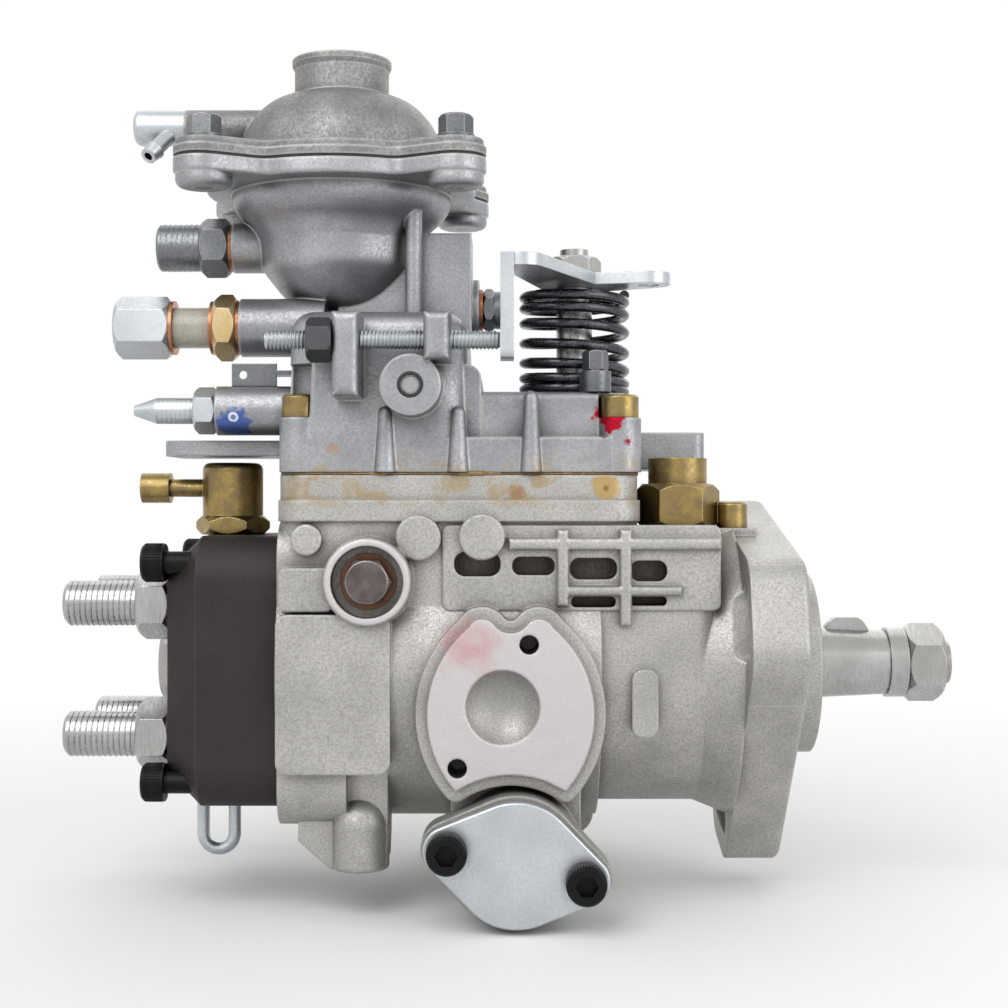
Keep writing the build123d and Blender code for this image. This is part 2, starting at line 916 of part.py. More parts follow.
def make_housing():
    housing = make_flange() + round_x(neck_r, -neck_len - 1, -flange_thick)
    housing += round_x(body_r, -body_len, -neck_len)
    housing += make_upper_body() + make_end_block()
    housing += make_front_casting() + make_timing_boss() + make_foot()
    housing += make_pad() + make_side_bosses() + make_valve_pad()
    return housing - make_front_pockets() - pad_cuts() - housing_hollows() - housing_screw_holes()


# drive train
def shaft_profile():
    points = [(hub_left, 0), (hub_left, hub_r), (gear_left, hub_r), (gear_left, rotor_seat_r)]
    points += [(-cam_bore_end, rotor_seat_r), (-cam_bore_end, shaft_r), (taper_start, shaft_r)]
    points += [(taper_end, taper_end_r), (taper_end, thread_r), (taper_end + thread_len, thread_r)]
    return make_face(Polyline(*points, (taper_end + thread_len, 0), close=True))


def make_shaft():
    turned = revolve(Plane.XZ * shaft_profile(), Axis.X)
    for low, high in ((claw_in, claw_out), (-claw_out, -claw_in)):
        turned += block(hub_left - claw_len, hub_left, -claw_w / 2, claw_w / 2, low, high)
    return turned - make_key()


def make_key():
    middle = taper_start + taper_len / 2
    disc = round_y(key_r, -key_w / 2, key_w / 2, middle, key_centre_r)
    return disc & block(middle - key_r, middle + key_r, -key_w, key_w, 0, key_top_r)


def make_shaft_nut():
    start = taper_end + washer_len
    washer = round_x(washer_r, taper_end, start) - round_x(thread_r, taper_end, start)
    nut = hex_x(nut_flats, start, start + nut_len) - round_x(thread_r, start, start + nut_len)
    return Compound([washer, nut])


def make_bush():
    left = -bush_start - bush_len
    outer = round_x(shaft_r + bush_wall, left, -bush_start)
    return outer - round_x(shaft_r + run_fit, left, -bush_start)


def make_seal():
    right = seal_start + seal_len
    ring = round_x(seal_r, seal_start, right) - round_x(shaft_r + run_fit, seal_start, right)
    groove_left = seal_start + 0.4 * seal_len
    lip_wall = round_x(shaft_r + seal_wall, groove_left, right)
    return ring - (round_x(seal_r - seal_wall, groove_left, right) - lip_wall)


def make_pump_ring():
    right = -cam_bore_end
    left = right - ring_len
    ring = round_x(cam_bore_r, left, right) - round_x(ring_bore_r, left, right, ring_offset)
    plate = round_x(cam_bore_r, plate_end, left) - round_x(rotor_seat_r + run_fit, plate_end, left)
    return Compound([ring, plate])


def make_rotor():
    left = -cam_bore_end - ring_len + rotor_play
    right = -cam_bore_end - rotor_play
    tip = ring_bore_r - ring_offset - 2 * rotor_play
    root = rotor_r - vane_depth
    rotor = round_x(rotor_r, left, right) - round_x(rotor_seat_r, left, right)
    vanes = []
    for index in range(vane_count):
        turn = Rot(index * 360 / vane_count + 45, 0, 0)
        rotor -= turn * block(left, right, -vane_w / 2, vane_w / 2, root, rotor_r + 1)
        vanes.append(turn * block(left, right, -vane_w / 2, vane_w / 2, root, tip))
    return Compound([rotor, *vanes])


# spur gear with straight chords along its involute flanks
def gear_sketch(teeth):
    pitch_r = gear_module * teeth / 2
    base_r = pitch_r * cos(radians(pressure_angle))
    root_r = pitch_r - gear_dedendum * gear_module
    tip_r = pitch_r + gear_addendum * gear_module
    radii = [root_r, max(base_r, root_r + 0.3), pitch_r, tip_r]
    half_pitch = pi / (2 * teeth) - tooth_backlash / (2 * pitch_r)
    at_pitch = involute(pitch_r, base_r)
    points = []
    for index in range(teeth):
        middle = 2 * pi * index / teeth
        half_angles = [half_pitch + at_pitch - involute(max(radius, base_r), base_r) for radius in radii]
        flank = list(zip(radii, half_angles))
        for radius, half in flank:
            points.append((radius * cos(middle - half), radius * sin(middle - half)))
        for radius, half in reversed(flank):
            points.append((radius * cos(middle + half), radius * sin(middle + half)))
    return make_face(Polyline(*points, close=True))


def involute(radius, base_r):
    slope = sqrt(max((radius / base_r) ** 2 - 1, 0))
    return slope - atan(slope)


# both gears have a tooth on the upright line through the two axes, one of them half a pitch out
def make_drive_gear():
    teeth = side_plane(gear_left) * Rot(0, 0, 90) * gear_sketch(drive_teeth)
    return extrude(teeth, gear_len) - round_x(rotor_seat_r, gear_left, gear_right)


def make_carrier():
    turn = -90 + 180 / driven_teeth
    place = Plane(origin=(gear_left, 0, governor_z), x_dir=(0, 1, 0), z_dir=(1, 0, 0))
    carrier = extrude(place * Rot(0, 0, turn) * gear_sketch(driven_teeth), gear_len)
    base_left = cage_right - cage_base
    cage_left = cage_right - cage_len
    carrier += round_x(cage_r, base_left, cage_right, 0, governor_z)
    shell = round_x(cage_r, cage_left, base_left) - round_x(cage_r - cage_wall, cage_left, base_left)
    half = cage_r * tan(radians(cage_window / 2))
    for index in range(weight_count):
        window = block(cage_left, base_left, -half, half, 0, cage_r + 1)
        shell -= Rot(index * 360 / weight_count, 0, 0) * window
    carrier += Pos(0, 0, governor_z) * shell
    return carrier - round_x(governor_shaft_r + run_fit, base_left, gear_right, 0, governor_z)


# each weight has a toe that reaches in to the sleeve
def make_flyweights():
    left = weight_right - weight_len
    body = block(left, weight_right, -weight_w / 2, weight_w / 2, weight_in, weight_out)
    body = fillet(body.edges().filter_by(Axis.X).group_by(Axis.Z)[-1], cast_round)
    toe_left = weight_right - weight_len / 4
    weight = body + block(toe_left, weight_right, -weight_w / 4, weight_w / 4, toe_in, weight_in + 1)
    turns = [Rot(index * 360 / weight_count, 0, 0) for index in range(weight_count)]
    return Compound([Pos(0, 0, governor_z) * turn * weight for turn in turns])


def make_governor_shaft():
    left = -drive_wall - governor_shaft_len
    return round_x(governor_shaft_r, left, governor_shaft_right, 0, governor_z)


def make_sleeve():
    body = round_x(sleeve_r, sleeve_left, sleeve_right, 0, governor_z)
    body += round_x(sleeve_flange_r, sleeve_right - sleeve_rim, sleeve_right, 0, governor_z)
    body += Pos(sleeve_left, 0, governor_z) * Sphere(sleeve_tip_r)
    bore_left = -drive_wall - governor_shaft_len - sleeve_travel - 2 * gap
    return body - round_x(governor_shaft_r + run_fit, bore_left, sleeve_right, 0, governor_z)


# start and tension lever with its lower ball in the control collar
def make_governor_lever():
    arm_left = lever_arm_right - lever_thick
    arm = block(arm_left, lever_arm_right, -lever_w / 2, lever_w / 2, lever_z, lever_top)
    button = round_x(lever_button_r, arm_left - lever_button, arm_left, 0, governor_z)
    arm += fillet(button.edges().group_by(Axis.X)[0], edge_break)
    arm += round_y(lever_hub_r, -lever_hub_half, lever_hub_half, -lever_x, lever_z)
    left = -lever_x - ball_neck_r
    arm += block(left, lever_arm_right, -lever_w / 2, lever_w / 2, lever_z, lever_z + lever_foot)
    arm += round_z(ball_neck_r, lever_ball_z, lever_z, -lever_x)
    arm += Pos(-lever_x, 0, lever_ball_z) * Sphere(lever_ball_r)
    return arm - round_y(pivot_pin_r + run_fit, -lever_hub_half - 1, lever_hub_half + 1, -lever_x, lever_z)


def make_governor_spring():
    left = lever_arm_right + gap
    right = -throttle_x - eccentric * cos(radians(throttle_range / 2)) - eccentric_pin_r - gap
    spring = coil(governor_spring_r, governor_spring_wire, right - left, governor_spring_turns)
    return Pos(left, 0, governor_spring_z) * Rot(0, 90, 0) * spring


# cam plate, plunger and what holds them
def make_cross():
    left = hub_left - claw_len + claw_w / 2
    return round_x(cross_r, left, left + cross_len)


def make_cam_plate():
    plate = round_x(cam_r, cam_back, cam_face)
    ring = round_x(cam_r, cam_face, lobe_peak) - round_x(lobe_track_r, cam_face, lobe_peak)
    for index in range(lobe_count):
        bump = Pos(lobe_peak - lobe_round, 0, cam_r / 2) * Cylinder(lobe_round, cam_r + 4)
        plate += Rot(45 + index * 360 / lobe_count, 0, 0) * (bump & ring)
    for low, high in ((claw_in, claw_out), (-claw_out, -claw_in)):
        plate += block(cam_face, hub_left - 2, low, high, -claw_w / 2, claw_w / 2)
    return plate


def make_plunger():
    right = cam_back
    left = barrel_end + plunger_stroke_room
    stem = round_x(plunger_r, left, foot_back) + round_x(foot_r, foot_back, right)
    return stem - round_x(plunger_bore_r, left, left + plunger_bore_len)


def make_plunger_springs():
    bridge_right = foot_back - gap
    bridge_left = bridge_right - bridge_len
    spigot_face = head_face + spigot_len
    reach = plunger_spring_y + plunger_spring_r + plunger_spring_wire
    bridge = side_plane(bridge_left) * SlotOverall(2 * reach, bridge_w)
    bridge = extrude(bridge, bridge_len) - round_x(plunger_r + gap, bridge_left, bridge_right)
    length = bridge_left - spigot_face
    springs = []
    for y in (-plunger_spring_y, plunger_spring_y):
        spring = coil(plunger_spring_r, plunger_spring_wire, length, plunger_spring_turns)
        springs.append(Pos(spigot_face, y, 0) * Rot(0, 90, 0) * spring)
    return Compound([bridge, *springs])


def make_collar():
    left = -lever_x - collar_len / 2
    right = left + collar_len
    body = round_x(collar_r, left, right) - round_x(plunger_r + run_fit, left, right)
    return body - round_z(lever_ball_r + gap, lever_ball_z - lever_ball_r - gap, collar_r + 1, -lever_x)


def make_roller_ring():
    outer_r = cam_bore_r - run_fit
    ring = round_x(outer_r, roller_ring_left, roller_ring_right)
    ring -= round_x(roller_ring_bore_r, roller_ring_left, roller_ring_right)
    low = roller_mid_r - roller_len / 2
    high = roller_mid_r + roller_len / 2
    roller = round_z(roller_r, low, high, roller_x) + round_z(roller_pin_r, low - 2, high + 1, roller_x)
    room = round_z(roller_r + gap, low - gap, high + gap, roller_x)
    room += round_z(roller_pin_r, 0, outer_r - 1, roller_x)
    turns = [Rot(45 + index * 360 / lobe_count, 0, 0) for index in range(lobe_count)]
    for turn in turns:
        ring -= turn * room
    ring += round_z(timing_pin_r, -timing_z, -roller_ring_bore_r - 2, -timing_x)
    return Compound([ring, *[turn * roller for turn in turns]])


def make_timing_piston():
    end = -piston_front + piston_len
    body = round_y(timing_bore_r - run_fit, -piston_front, end, -timing_x, -timing_z)
    side = timing_pin_r + timing_pin_room
    reach = side + 2.4
    top = -timing_z + timing_bore_r
    body -= block(-timing_x - side, -timing_x + side, -reach, reach, -timing_z - 1, top)
    return body - round_y(timing_spring_bore_r, end - timing_spring_room, end, -timing_x, -timing_z)


def make_timing_spring():
    start = -piston_front + piston_len - timing_spring_room
    spring = coil(timing_spring_r, timing_spring_wire, timing_half - start, timing_spring_turns)
    return Pos(-timing_x, start, -timing_z) * Rot(-90, 0, 0) * spring


def make_timing_cover():
    outline = front_plane(-timing_half) * timing_sketch(timing_cover_r, timing_ear_r)
    plate = extrude(outline, timing_cover_thick)
    plate = fillet(plate.edges().group_by(Axis.Y)[0], edge_break)
    for x, z in timing_screw_places():
        plate -= round_y(screw_thread_r, -timing_half - timing_cover_thick, -timing_half, x, z)
    return plate


def make_timing_covers():
    cover = make_timing_cover()
    return Compound([cover, mirrored(cover)])


# distributor head
def holder_places():
    for index in range(holder_count):
        angle = radians(45 + index * 360 / holder_count)
        yield holder_pcd / 2 * cos(angle), holder_pcd / 2 * sin(angle)


def make_head():
    square = RectangleRounded(2 * head_half, 2 * head_half, head_corner)
    head = extrude(side_plane(head_end) * square, head_len)
    head = chamfer(head.edges().group_by(Axis.X)[0].sort_by(Axis.Z)[-1], head_chamfer)
    head += round_x(spigot_bore_r, head_face, head_face + spigot_len)
    head -= round_x(barrel_r, barrel_end, head_face + spigot_len + 1)
    head -= round_x(plug_thread_r, head_end - 1, barrel_end + 1)
    for y, z in holder_places():
        head -= round_x(holder_thread_r, head_end - 1, head_end + holder_depth, y, z)
    for y, z in head_bolt_places():
        head -= round_x(screw_thread_r, head_end - 1, head_face + spigot_len, y, z)
    solenoid_x = head_face - solenoid_back
    head -= round_z(solenoid_thread_r, head_half - solenoid_thread_len, head_half + 1, solenoid_x)
    head -= round_z(solenoid_pin_r + run_fit, barrel_r - 1, head_half, solenoid_x)
    for x in (head_face - eye_back - eye_r, head_face - eye_back + eye_r):
        head -= round_z(eye_rod_r, -head_half - 1, -head_half + eye_sunk, x, eye_y)
    return head


def make_barrel():
    body = round_x(barrel_r, barrel_end, barrel_face)
    return body - round_x(plunger_r + run_fit, barrel_end, barrel_face)


def make_head_plug():
    plug = hex_x(plug_flats, head_end - plug_hex_len, head_end)
    return plug + round_x(plug_thread_r, head_end, barrel_end)


def make_holder():
    hex_left = head_end - holder_hex_len
    tip = hex_left - holder_neck_len
    inside = head_end + holder_depth
    body = round_x(holder_thread_r, head_end, inside - 3) + hex_x(holder_flats, hex_left, head_end)
    body += chamfer(round_x(holder_neck_r, tip, hex_left).edges().group_by(Axis.X)[0], 1)
    body -= round_x(holder_bore_r, tip, inside)
    body -= round_x(spring_room_r, hex_left + 2, inside)
    body -= round_x(valve_r + run_fit, valve_left - valve_room, inside)
    seat = Cone(holder_seat_r + edge_break, holder_bore_r, holder_seat_r)
    seat = Pos(tip + holder_seat_r / 2, 0, 0) * Rot(0, 90, 0) * seat
    return body - seat


def make_holders():
    holder = make_holder()
    return Compound([Pos(0, y, z) * holder for y, z in holder_places()])


def make_delivery_valves():
    valve = round_x(valve_r, valve_left, valve_left + valve_len)
    valve -= round_x(valve_bore_r, valve_left, valve_left + valve_len - 3)
    return Compound([Pos(0, y, z) * valve for y, z in holder_places()])


def make_solenoid():
    x = head_face - solenoid_back
    hex_top = head_half + solenoid_hex_len
    body = hex_z(solenoid_flats, head_half, hex_top, x)
    can = round_z(solenoid_r, hex_top, head_half + solenoid_len, x)
    body += fillet(can.edges().group_by(Axis.Z)[-1], 2)
    body += round_z(solenoid_thread_r, head_half - solenoid_thread_len, head_half, x)
    stud_z = head_half + solenoid_len - terminal_drop
    left = x - solenoid_r - terminal_len
    body += round_x(terminal_r, left, x, 0, stud_z)
    body += round_x(terminal_cap_r, left - terminal_cap_len, left, 0, stud_z)
    pin_top = barrel_r + gap + solenoid_pin_len
    return body - round_z(solenoid_pin_r + run_fit, 0, pin_top + solenoid_lift + gap, x)


def make_solenoid_plunger():
    low = barrel_r + gap
    return round_z(solenoid_pin_r, low, low + solenoid_pin_len, head_face - solenoid_back)


def make_lifting_eye():
    middle = head_face - eye_back
    bend = -head_half - eye_drop
    legs = round_z(eye_rod_r, bend, -head_half + eye_sunk, middle - eye_r, eye_y)
    legs += round_z(eye_rod_r, bend, -head_half + eye_sunk, middle + eye_r, eye_y)
    loop = Pos(middle, eye_y, bend) * Rot(90, 0, 0) * Torus(eye_r, eye_rod_r)
    reach = eye_r + 2 * eye_rod_r
    lower = block(middle - reach, middle + reach, eye_y - reach, eye_y + reach, bend - reach, bend)
    return legs + (loop & lower)


def make_socket_screws():
    screws = []
    for y, z in head_bolt_places():
        grip = head_len + head_bolt_grip
        screws.append(Pos(head_end, y, z) * Rot(0, -90, 0) * socket_screw(screw_thread_r, grip))
    for x, z in timing_screw_places():
        seat = -timing_half - timing_cover_thick
        screw = Pos(x, seat, z) * Rot(90, 0, 0) * socket_screw(screw_thread_r, timing_screw_grip)
        screws += [screw, mirrored(screw)]
    return Compound(screws)


# governor cover
def cover_plan(inset):
    length = body_len - deck_end - 2 * inset
    corner = max(cover_corner - inset, 1)
    return Pos(-(body_len + deck_end) / 2, 0) * RectangleRounded(length, 2 * (body_half - inset), corner)


def make_gasket():
    sheet = Pos(0, 0, deck_z) * extrude(cover_plan(gap) - chamber_outline(), gasket_thick)
    for x, y in cover_bolt_places():
        sheet -= round_z(screw_thread_r, deck_z, cover_bottom, x, y)
    return sheet


# the bowl narrows to a turned band and closes below it in a round bottom
def make_bowl():
    band_top, band_low = bowl_band
    foot = (bowl_foot_r, bowl_foot_z)
    side = Spline((bowl_r, bowl_flange_z), *bowl_belly, band_top, tangents=((-0.02, -1), (-0.35, -1)))
    under = Spline(band_low, *bowl_under, foot, tangents=((-0.1, -1), (-1, -0.4)))
    closing = Polyline(foot, (bowl_foot_r, pedestal_top - 2), (0, pedestal_top - 2), (0, bowl_flange_z),
                       (bowl_r, bowl_flange_z))
    profile = make_face([side, Line(band_top, band_low), under, *closing.edges()])
    bowl = revolve(Plane.XZ * profile, Axis.Z)
    flange = extrude(Pos(0, 0, bowl_flange_z) * comp_plan(0), bowl_split_z - bowl_flange_z)
    bowl += fillet(flange.edges().group_by(Axis.Z)[0], cast_round / 2)
    for x, y in comp_spots():
        ear = round_z(comp_ear_r - edge_break, comp_boss_low, bowl_flange_z + cast_round, x, y)
        bowl += fillet(ear.edges().group_by(Axis.Z)[0], cast_round)
    return Pos(-comp_x, 0, 0) * bowl


def comp_spots():
    spread = (-comp_screw_spread, comp_screw_spread)
    return [(x, y) for x in spread for y in spread]


# a round flange with four ears that blend into it
def comp_plan(inset):
    plan = Circle(comp_r)
    for x, y in comp_spots():
        ear = Pos(x, y) * Circle(comp_ear_r)
        root = Pos(comp_root_share * x, comp_root_share * y) * Circle(comp_root_r)
        plan += make_hull([*ear.edges(), *root.edges()])
    return offset(offset(plan, comp_blend, kind=Kind.ARC), -comp_blend - inset, kind=Kind.ARC)


def comp_screw_places():
    return [(x - comp_x, y) for x, y in comp_spots()]


def make_cover_body():
    length = pedestal_left - deck_end - 1
    height = cover_low_z - cover_flange_top + 1
    low = extrude(RectangleRounded(length, 2 * cover_low_half, cover_corner), height, taper=cover_low_taper)
    low = Pos(-pedestal_left + length / 2, 0, cover_flange_top - 1) * low
    body = Pos(0, 0, cover_bottom) * extrude(cover_plan(0), cover_flange)
    body += fillet(low.edges().group_by(Axis.Z)[-1], cast_round)
    return body + make_pedestal()


def make_pedestal():
    length = pedestal_left - pedestal_right
    plan = RectangleRounded(length, 2 * pedestal_half, cover_corner)
    pedestal = extrude(plan, pedestal_top - cover_flange_top, taper=pedestal_taper)
    pedestal = Pos(-pedestal_right - length / 2, 0, cover_flange_top) * pedestal
    pedestal = fillet(pedestal.edges().group_by(Axis.Z)[-1], pedestal_round)
    left = -pedestal_right - shoulder_root
    right = -pedestal_right + shoulder_out
    half = pedestal_half - shoulder_inset
    shoulder = block(left, right, -half, shoulder_back, cover_flange_top, shoulder_top)
    edge = shoulder.edges().filter_by(Axis.Y).group_by(Axis.Z)[-1].sort_by(Axis.X)[-1]
    return pedestal + fillet(edge, 2 * cast_round)


def make_cover_bosses():
    bosses = Part()
    for x, y in cover_bolt_places():
        bosses += round_z(cover_boss_r, cover_bottom, cover_bolt_seat, x, y)
    for x, top in cover_rib_places:
        height = top - cover_bottom
        rib = Cone(cover_rib_low_r, cover_rib_high_r, height)
        rib += Pos(0, 0, height / 2) * Sphere(cover_rib_high_r)
        rib = Pos(x * along, -body_half + cover_rib_inset, cover_bottom + height / 2) * rib
        bosses += rib + mirrored(rib)
    return bosses


# the ledge over the distributor head and the tail over the low deck
def make_cover_ledges():
    length = ledge_reach - body_len + 4
    ledge = extrude(RectangleRounded(length, 2 * ledge_half, 4), ledge_thick)
    ledge = Pos(-ledge_reach + length / 2, 0, cover_flange_top - ledge_thick) * ledge
    low = cover_bottom + tail_rise / 2
    top = cover_flange_top + tail_rise
    tail = block(-deck_end - 2, -low_deck_end + 1, tail_low_y, tail_high_y, low, top)
    return ledge + fillet(tail.edges().filter_by(Axis.Z), 3)


def make_stop_lugs():
    lugs = []
    for middle, low in ((lug_left, lug_left_low), (lug_right, lug_right_low)):
        left = -middle - lug_thick / 2
        lug = block(left, left + lug_thick, -stop_y - lug_out, -pedestal_half + 8, low, lug_top)
        lugs.append(fillet(lug.edges().group_by(Axis.Y)[0], cast_round))
    return lugs[0] + lugs[1]


def make_cover_arms():
    root = -pedestal_left + 8
    arms = round_x(return_boss_r, -return_boss_end, root, -return_y, return_z)
    arms += round_x(full_load_boss_r, -full_load_boss_end, root, -full_load_y, full_load_z)
    arms += round_x(side_barrel_r, -comp_x, -side_plug_x, 0, feeler_z)
    arms += block(-comp_x, -pedestal_right, -neck_box_half, neck_box_half, neck_box_low, neck_box_top)
    arms += round_x(vent_boss_r, -vent_end, -comp_x, 0, vent_z)
    arms += round_z(throttle_boss_r, cover_low_z - 3, throttle_boss_top, -throttle_x, -throttle_y)
    arms += round_y(reverse_boss_r, -pedestal_half - reverse_boss_out, 0, -reverse_x, reverse_z)
    return arms + round_z(column_r, column_low, column_top, -column_x * along, -column_y)


def cover_hollows():
    cavity = Pos(0, 0, cover_bottom) * extrude(chamber_outline(), cover_inner_top - cover_bottom)
    guide_low = feeler_z + feeler_r + 3
    cavity += round_z(comp_pin_r + 1, comp_pin_low - comp_travel - 1, guide_low, -comp_x)
    cavity += round_z(comp_pin_r + run_fit, guide_low, bowl_floor + 1, -comp_x)
    cone_top = bowl_floor + bowl_room_cone
    cone = Cone(bowl_room_low_r, bowl_room_r, bowl_room_cone)
    cavity += Pos(-comp_x, 0, bowl_floor + bowl_room_cone / 2) * cone
    cavity += round_z(bowl_room_r, cone_top, bowl_split_z, -comp_x)
    cavity += round_x(feeler_r + run_fit, -comp_x, -side_plug_x, 0, feeler_z)
    cavity += round_x(side_plug_r, -side_plug_x - side_plug_depth, -side_plug_x, 0, feeler_z)
    side = reverse_w / 2 + 1
    cavity += block(-reverse_x - 6, -reverse_x + 5, -side, side, cover_inner_top - 1, feeler_z + 5)
    front = -pedestal_half - reverse_boss_out - 1
    return cavity + round_y(reverse_pin_r + run_fit, front, reverse_pin_end + 1, -reverse_x, reverse_z)


def cover_holes():
    holes = Part()
    for x, y in cover_bolt_places():
        holes += round_z(screw_thread_r, cover_bottom, cover_bolt_seat, x, y)
        holes += round_z(socket_head_r + edge_break, cover_bolt_seat, cover_bolt_seat + 14, x, y)
    for x, y in comp_screw_places():
        holes += round_z(comp_screw_r, comp_boss_low, bowl_split_z, x, y)
    holes += round_x(return_bolt_r, -return_boss_end, -return_boss_end + return_depth, -return_y, return_z)
    holes += round_x(full_load_r, -full_load_boss_end - 1, full_load_right, -full_load_y, full_load_z)
    holes += round_x(vent_stem_r, -vent_end, -vent_end + vent_depth, 0, vent_z)
    holes += round_x(stop_screw_r, -stop_left, -stop_right, -stop_y, stop_z)
    holes += round_z(throttle_shaft_r + run_fit, cover_bottom, throttle_boss_top, -throttle_x, -throttle_y)
    holes += round_z(anchor_thread_r, cover_low_z - 4, cover_low_z + 1, -anchor_x, -anchor_y)
    return holes


def make_cover():
    cover = make_cover_body() + make_cover_bosses() + make_cover_ledges() + make_cover_arms()
    cover += make_stop_lugs() + make_bowl()
    return cover - cover_hollows() - cover_holes()


def make_cover_bolts():
    screw = socket_screw(screw_thread_r, cover_bolt_seat - deck_z + cover_screw_depth)
    return Compound([Pos(x, y, cover_bolt_seat) * screw for x, y in cover_bolt_places()])


# compensator
def make_dome():
    base = comp_cover_flange
    shoulder = (shoulder_r, base + shoulder_rise)
    neck_foot = (neck_outer_r, base + neck_base_rise)
    top = base + neck_top_rise
    outer = Polyline((0, 0), (dome_r, 0), (dome_r, base))
    crown = (crown_r, base + crown_rise)
    flank = Spline((dome_r, base), shoulder, crown, neck_foot, tangents=((-0.05, 1), (-1, 0.3)))
    rim = [neck_foot, (neck_outer_r, top - 2 * lip_height_top), (lip_r, top - lip_height_top), (lip_r, top)]
    well = [(neck_wall_r, top), (neck_wall_r, top - neck_well), (0, top - neck_well), (0, 0)]
    profile = make_face([*outer.edges(), flank, *Polyline(*rim, *well).edges()])
    return revolve(Plane.XZ * profile, Axis.Z)


def make_comp_cover():
    flange = extrude(comp_plan(comp_step), comp_cover_flange)
    flange = fillet(flange.edges().group_by(Axis.Z)[-1], edge_break) + extrude(comp_plan(0), comp_band)
    room = Cone(dome_r - dome_wall, dome_room_r, dome_room)
    cover = flange + make_dome() - Pos(0, 0, dome_room / 2) * room
    cover = Pos(-comp_x, 0, membrane_z) * cover
    inner = -comp_x - dome_room_r
    cover += round_x(elbow_r, -elbow_split, inner - dome_wall, 0, elbow_z)
    for x, y in comp_screw_places():
        cover -= round_z(comp_screw_r, membrane_z, comp_top + 1, x, y)
    return cover - round_x(elbow_bore_r, -elbow_split, inner, 0, elbow_z)


def make_membrane():
    sheet = extrude(comp_plan(gap) - Circle(membrane_bore_r), membrane_thick)
    sheet = Pos(-comp_x, 0, bowl_split_z) * sheet
    for x, y in comp_screw_places():
        sheet -= round_z(comp_screw_r, bowl_split_z, membrane_z, x, y)
    return sheet


def make_comp_screws():
    grip = comp_top - comp_boss_low
    screw = hex_z(comp_head_flats, 0, comp_screw_head) + round_z(comp_screw_collar_r, 0, comp_screw_collar)
    screw += round_z(comp_screw_r, -grip, 0)
    return Compound([Pos(x, y, comp_top) * screw for x, y in comp_screw_places()])


# the pin narrows upwards where the feeler rides, and its plates clamp the membrane
def make_comp_pin():
    cone_high = feeler_z + comp_travel + feeler_r
    plate_low = bowl_split_z - comp_plate_thick
    plate_top = membrane_z + comp_plate_thick
    points = [(0, comp_pin_low), (comp_pin_r, comp_pin_low), (comp_pin_r, comp_cone_low)]
    points += [(comp_cone_r(cone_high), cone_high), (comp_neck_r, cone_high), (comp_neck_r, plate_low)]
    points += [(comp_plate_r, plate_low), (comp_plate_r, plate_top), (comp_nut_r, plate_top)]
    points += [(comp_nut_r, plate_top + comp_nut_len), (0, plate_top + comp_nut_len)]
    return Pos(-comp_x, 0, 0) * revolve(Plane.XZ * make_face(Polyline(*points, close=True)), Axis.Z)


def comp_cone_r(z):
    return comp_pin_r - feeler_travel / comp_travel * (z - comp_cone_low)


def make_comp_spring():
    length = bowl_split_z - comp_plate_thick - bowl_floor
    spring = coil(comp_spring_r, comp_spring_wire, length, comp_spring_turns)
    return Pos(-comp_x, 0, bowl_floor) * spring


def make_feeler():
    left = -comp_x + comp_cone_r(feeler_z - feeler_r) + run_fit
    right = -reverse_x - reverse_thick / 2 - 0.2
    return round_x(feeler_r, left, right, 0, feeler_z)


def make_reverse_lever():
    left = -reverse_x - reverse_thick / 2
    right = left + reverse_thick
    plate = block(left, right, -reverse_w / 2, reverse_w / 2, reverse_low, feeler_z + feeler_r)
    plate -= block(left, right, -fork_half, fork_half, reverse_low, fork_top)
    plate += round_y(reverse_hub_r, -reverse_w / 2, reverse_w / 2, -reverse_x, reverse_z)
    front = -pedestal_half - reverse_boss_out + edge_break
    return plate + round_y(reverse_pin_r, front, reverse_pin_end, -reverse_x, reverse_z)


# fittings on the cover's left end
def make_elbow():
    barrel = round_x(elbow_r, -elbow_end, -elbow_split, 0, elbow_z)
    barrel = fillet(barrel.edges().group_by(Axis.X)[0], cast_round)
    nipple = Pos(0, 0, nipple_len / 2) * Cylinder(nipple_r, nipple_len)
    nipple += Pos(0, 0, nipple_len - 2) * Cone(nipple_r + edge_break, nipple_r, 3)
    bore = Pos(0, 0, nipple_len / 2 + 2) * Cylinder(nipple_bore_r, nipple_len)
    place = Plane(origin=(-elbow_split - nipple_root, 0, elbow_z), z_dir=nipple_way)
    return barrel + place * nipple - place * bore


def make_vent_union():
    start = -vent_end - washer_thick
    hex_left = start - vent_hex_len
    union = hex_x(vent_flats, hex_left, start, 0, vent_z)
    neck = round_x(vent_r, hex_left - vent_len, hex_left, 0, vent_z)
    union += chamfer(neck.edges().group_by(Axis.X)[0], edge_break)
    union += round_x(vent_stem_r, start, -vent_end + vent_depth, 0, vent_z)
    return union - round_x(vent_bore_r, hex_left - vent_len, -vent_end + vent_depth, 0, vent_z)


# right-hand faces of the adapter nut, the sleeve and the bolt head, with a washer before each
def return_stations():
    nut = -return_boss_end - washer_thick
    sleeve = nut - return_nut_len - washer_thick
    return nut, sleeve, sleeve - return_sleeve_len - washer_thick


def return_bore(x_low, x_high):
    return round_x(return_bolt_r, x_low, x_high, -return_y, return_z)


def make_return_nut():
    right = return_stations()[0]
    left = right - return_nut_len
    return hex_x(return_nut_flats, left, right, -return_y, return_z) - return_bore(left, right)


def make_return_sleeve():
    right = return_stations()[1]
    left = right - return_sleeve_len
    return round_x(return_sleeve_r, left, right, -return_y, return_z) - return_bore(left, right)


def make_return_bolt():
    right = return_stations()[2]
    head = hex_x(return_bolt_flats, right - return_bolt_len, right, -return_y, return_z)
    return head + return_bore(right, -return_boss_end + return_depth)


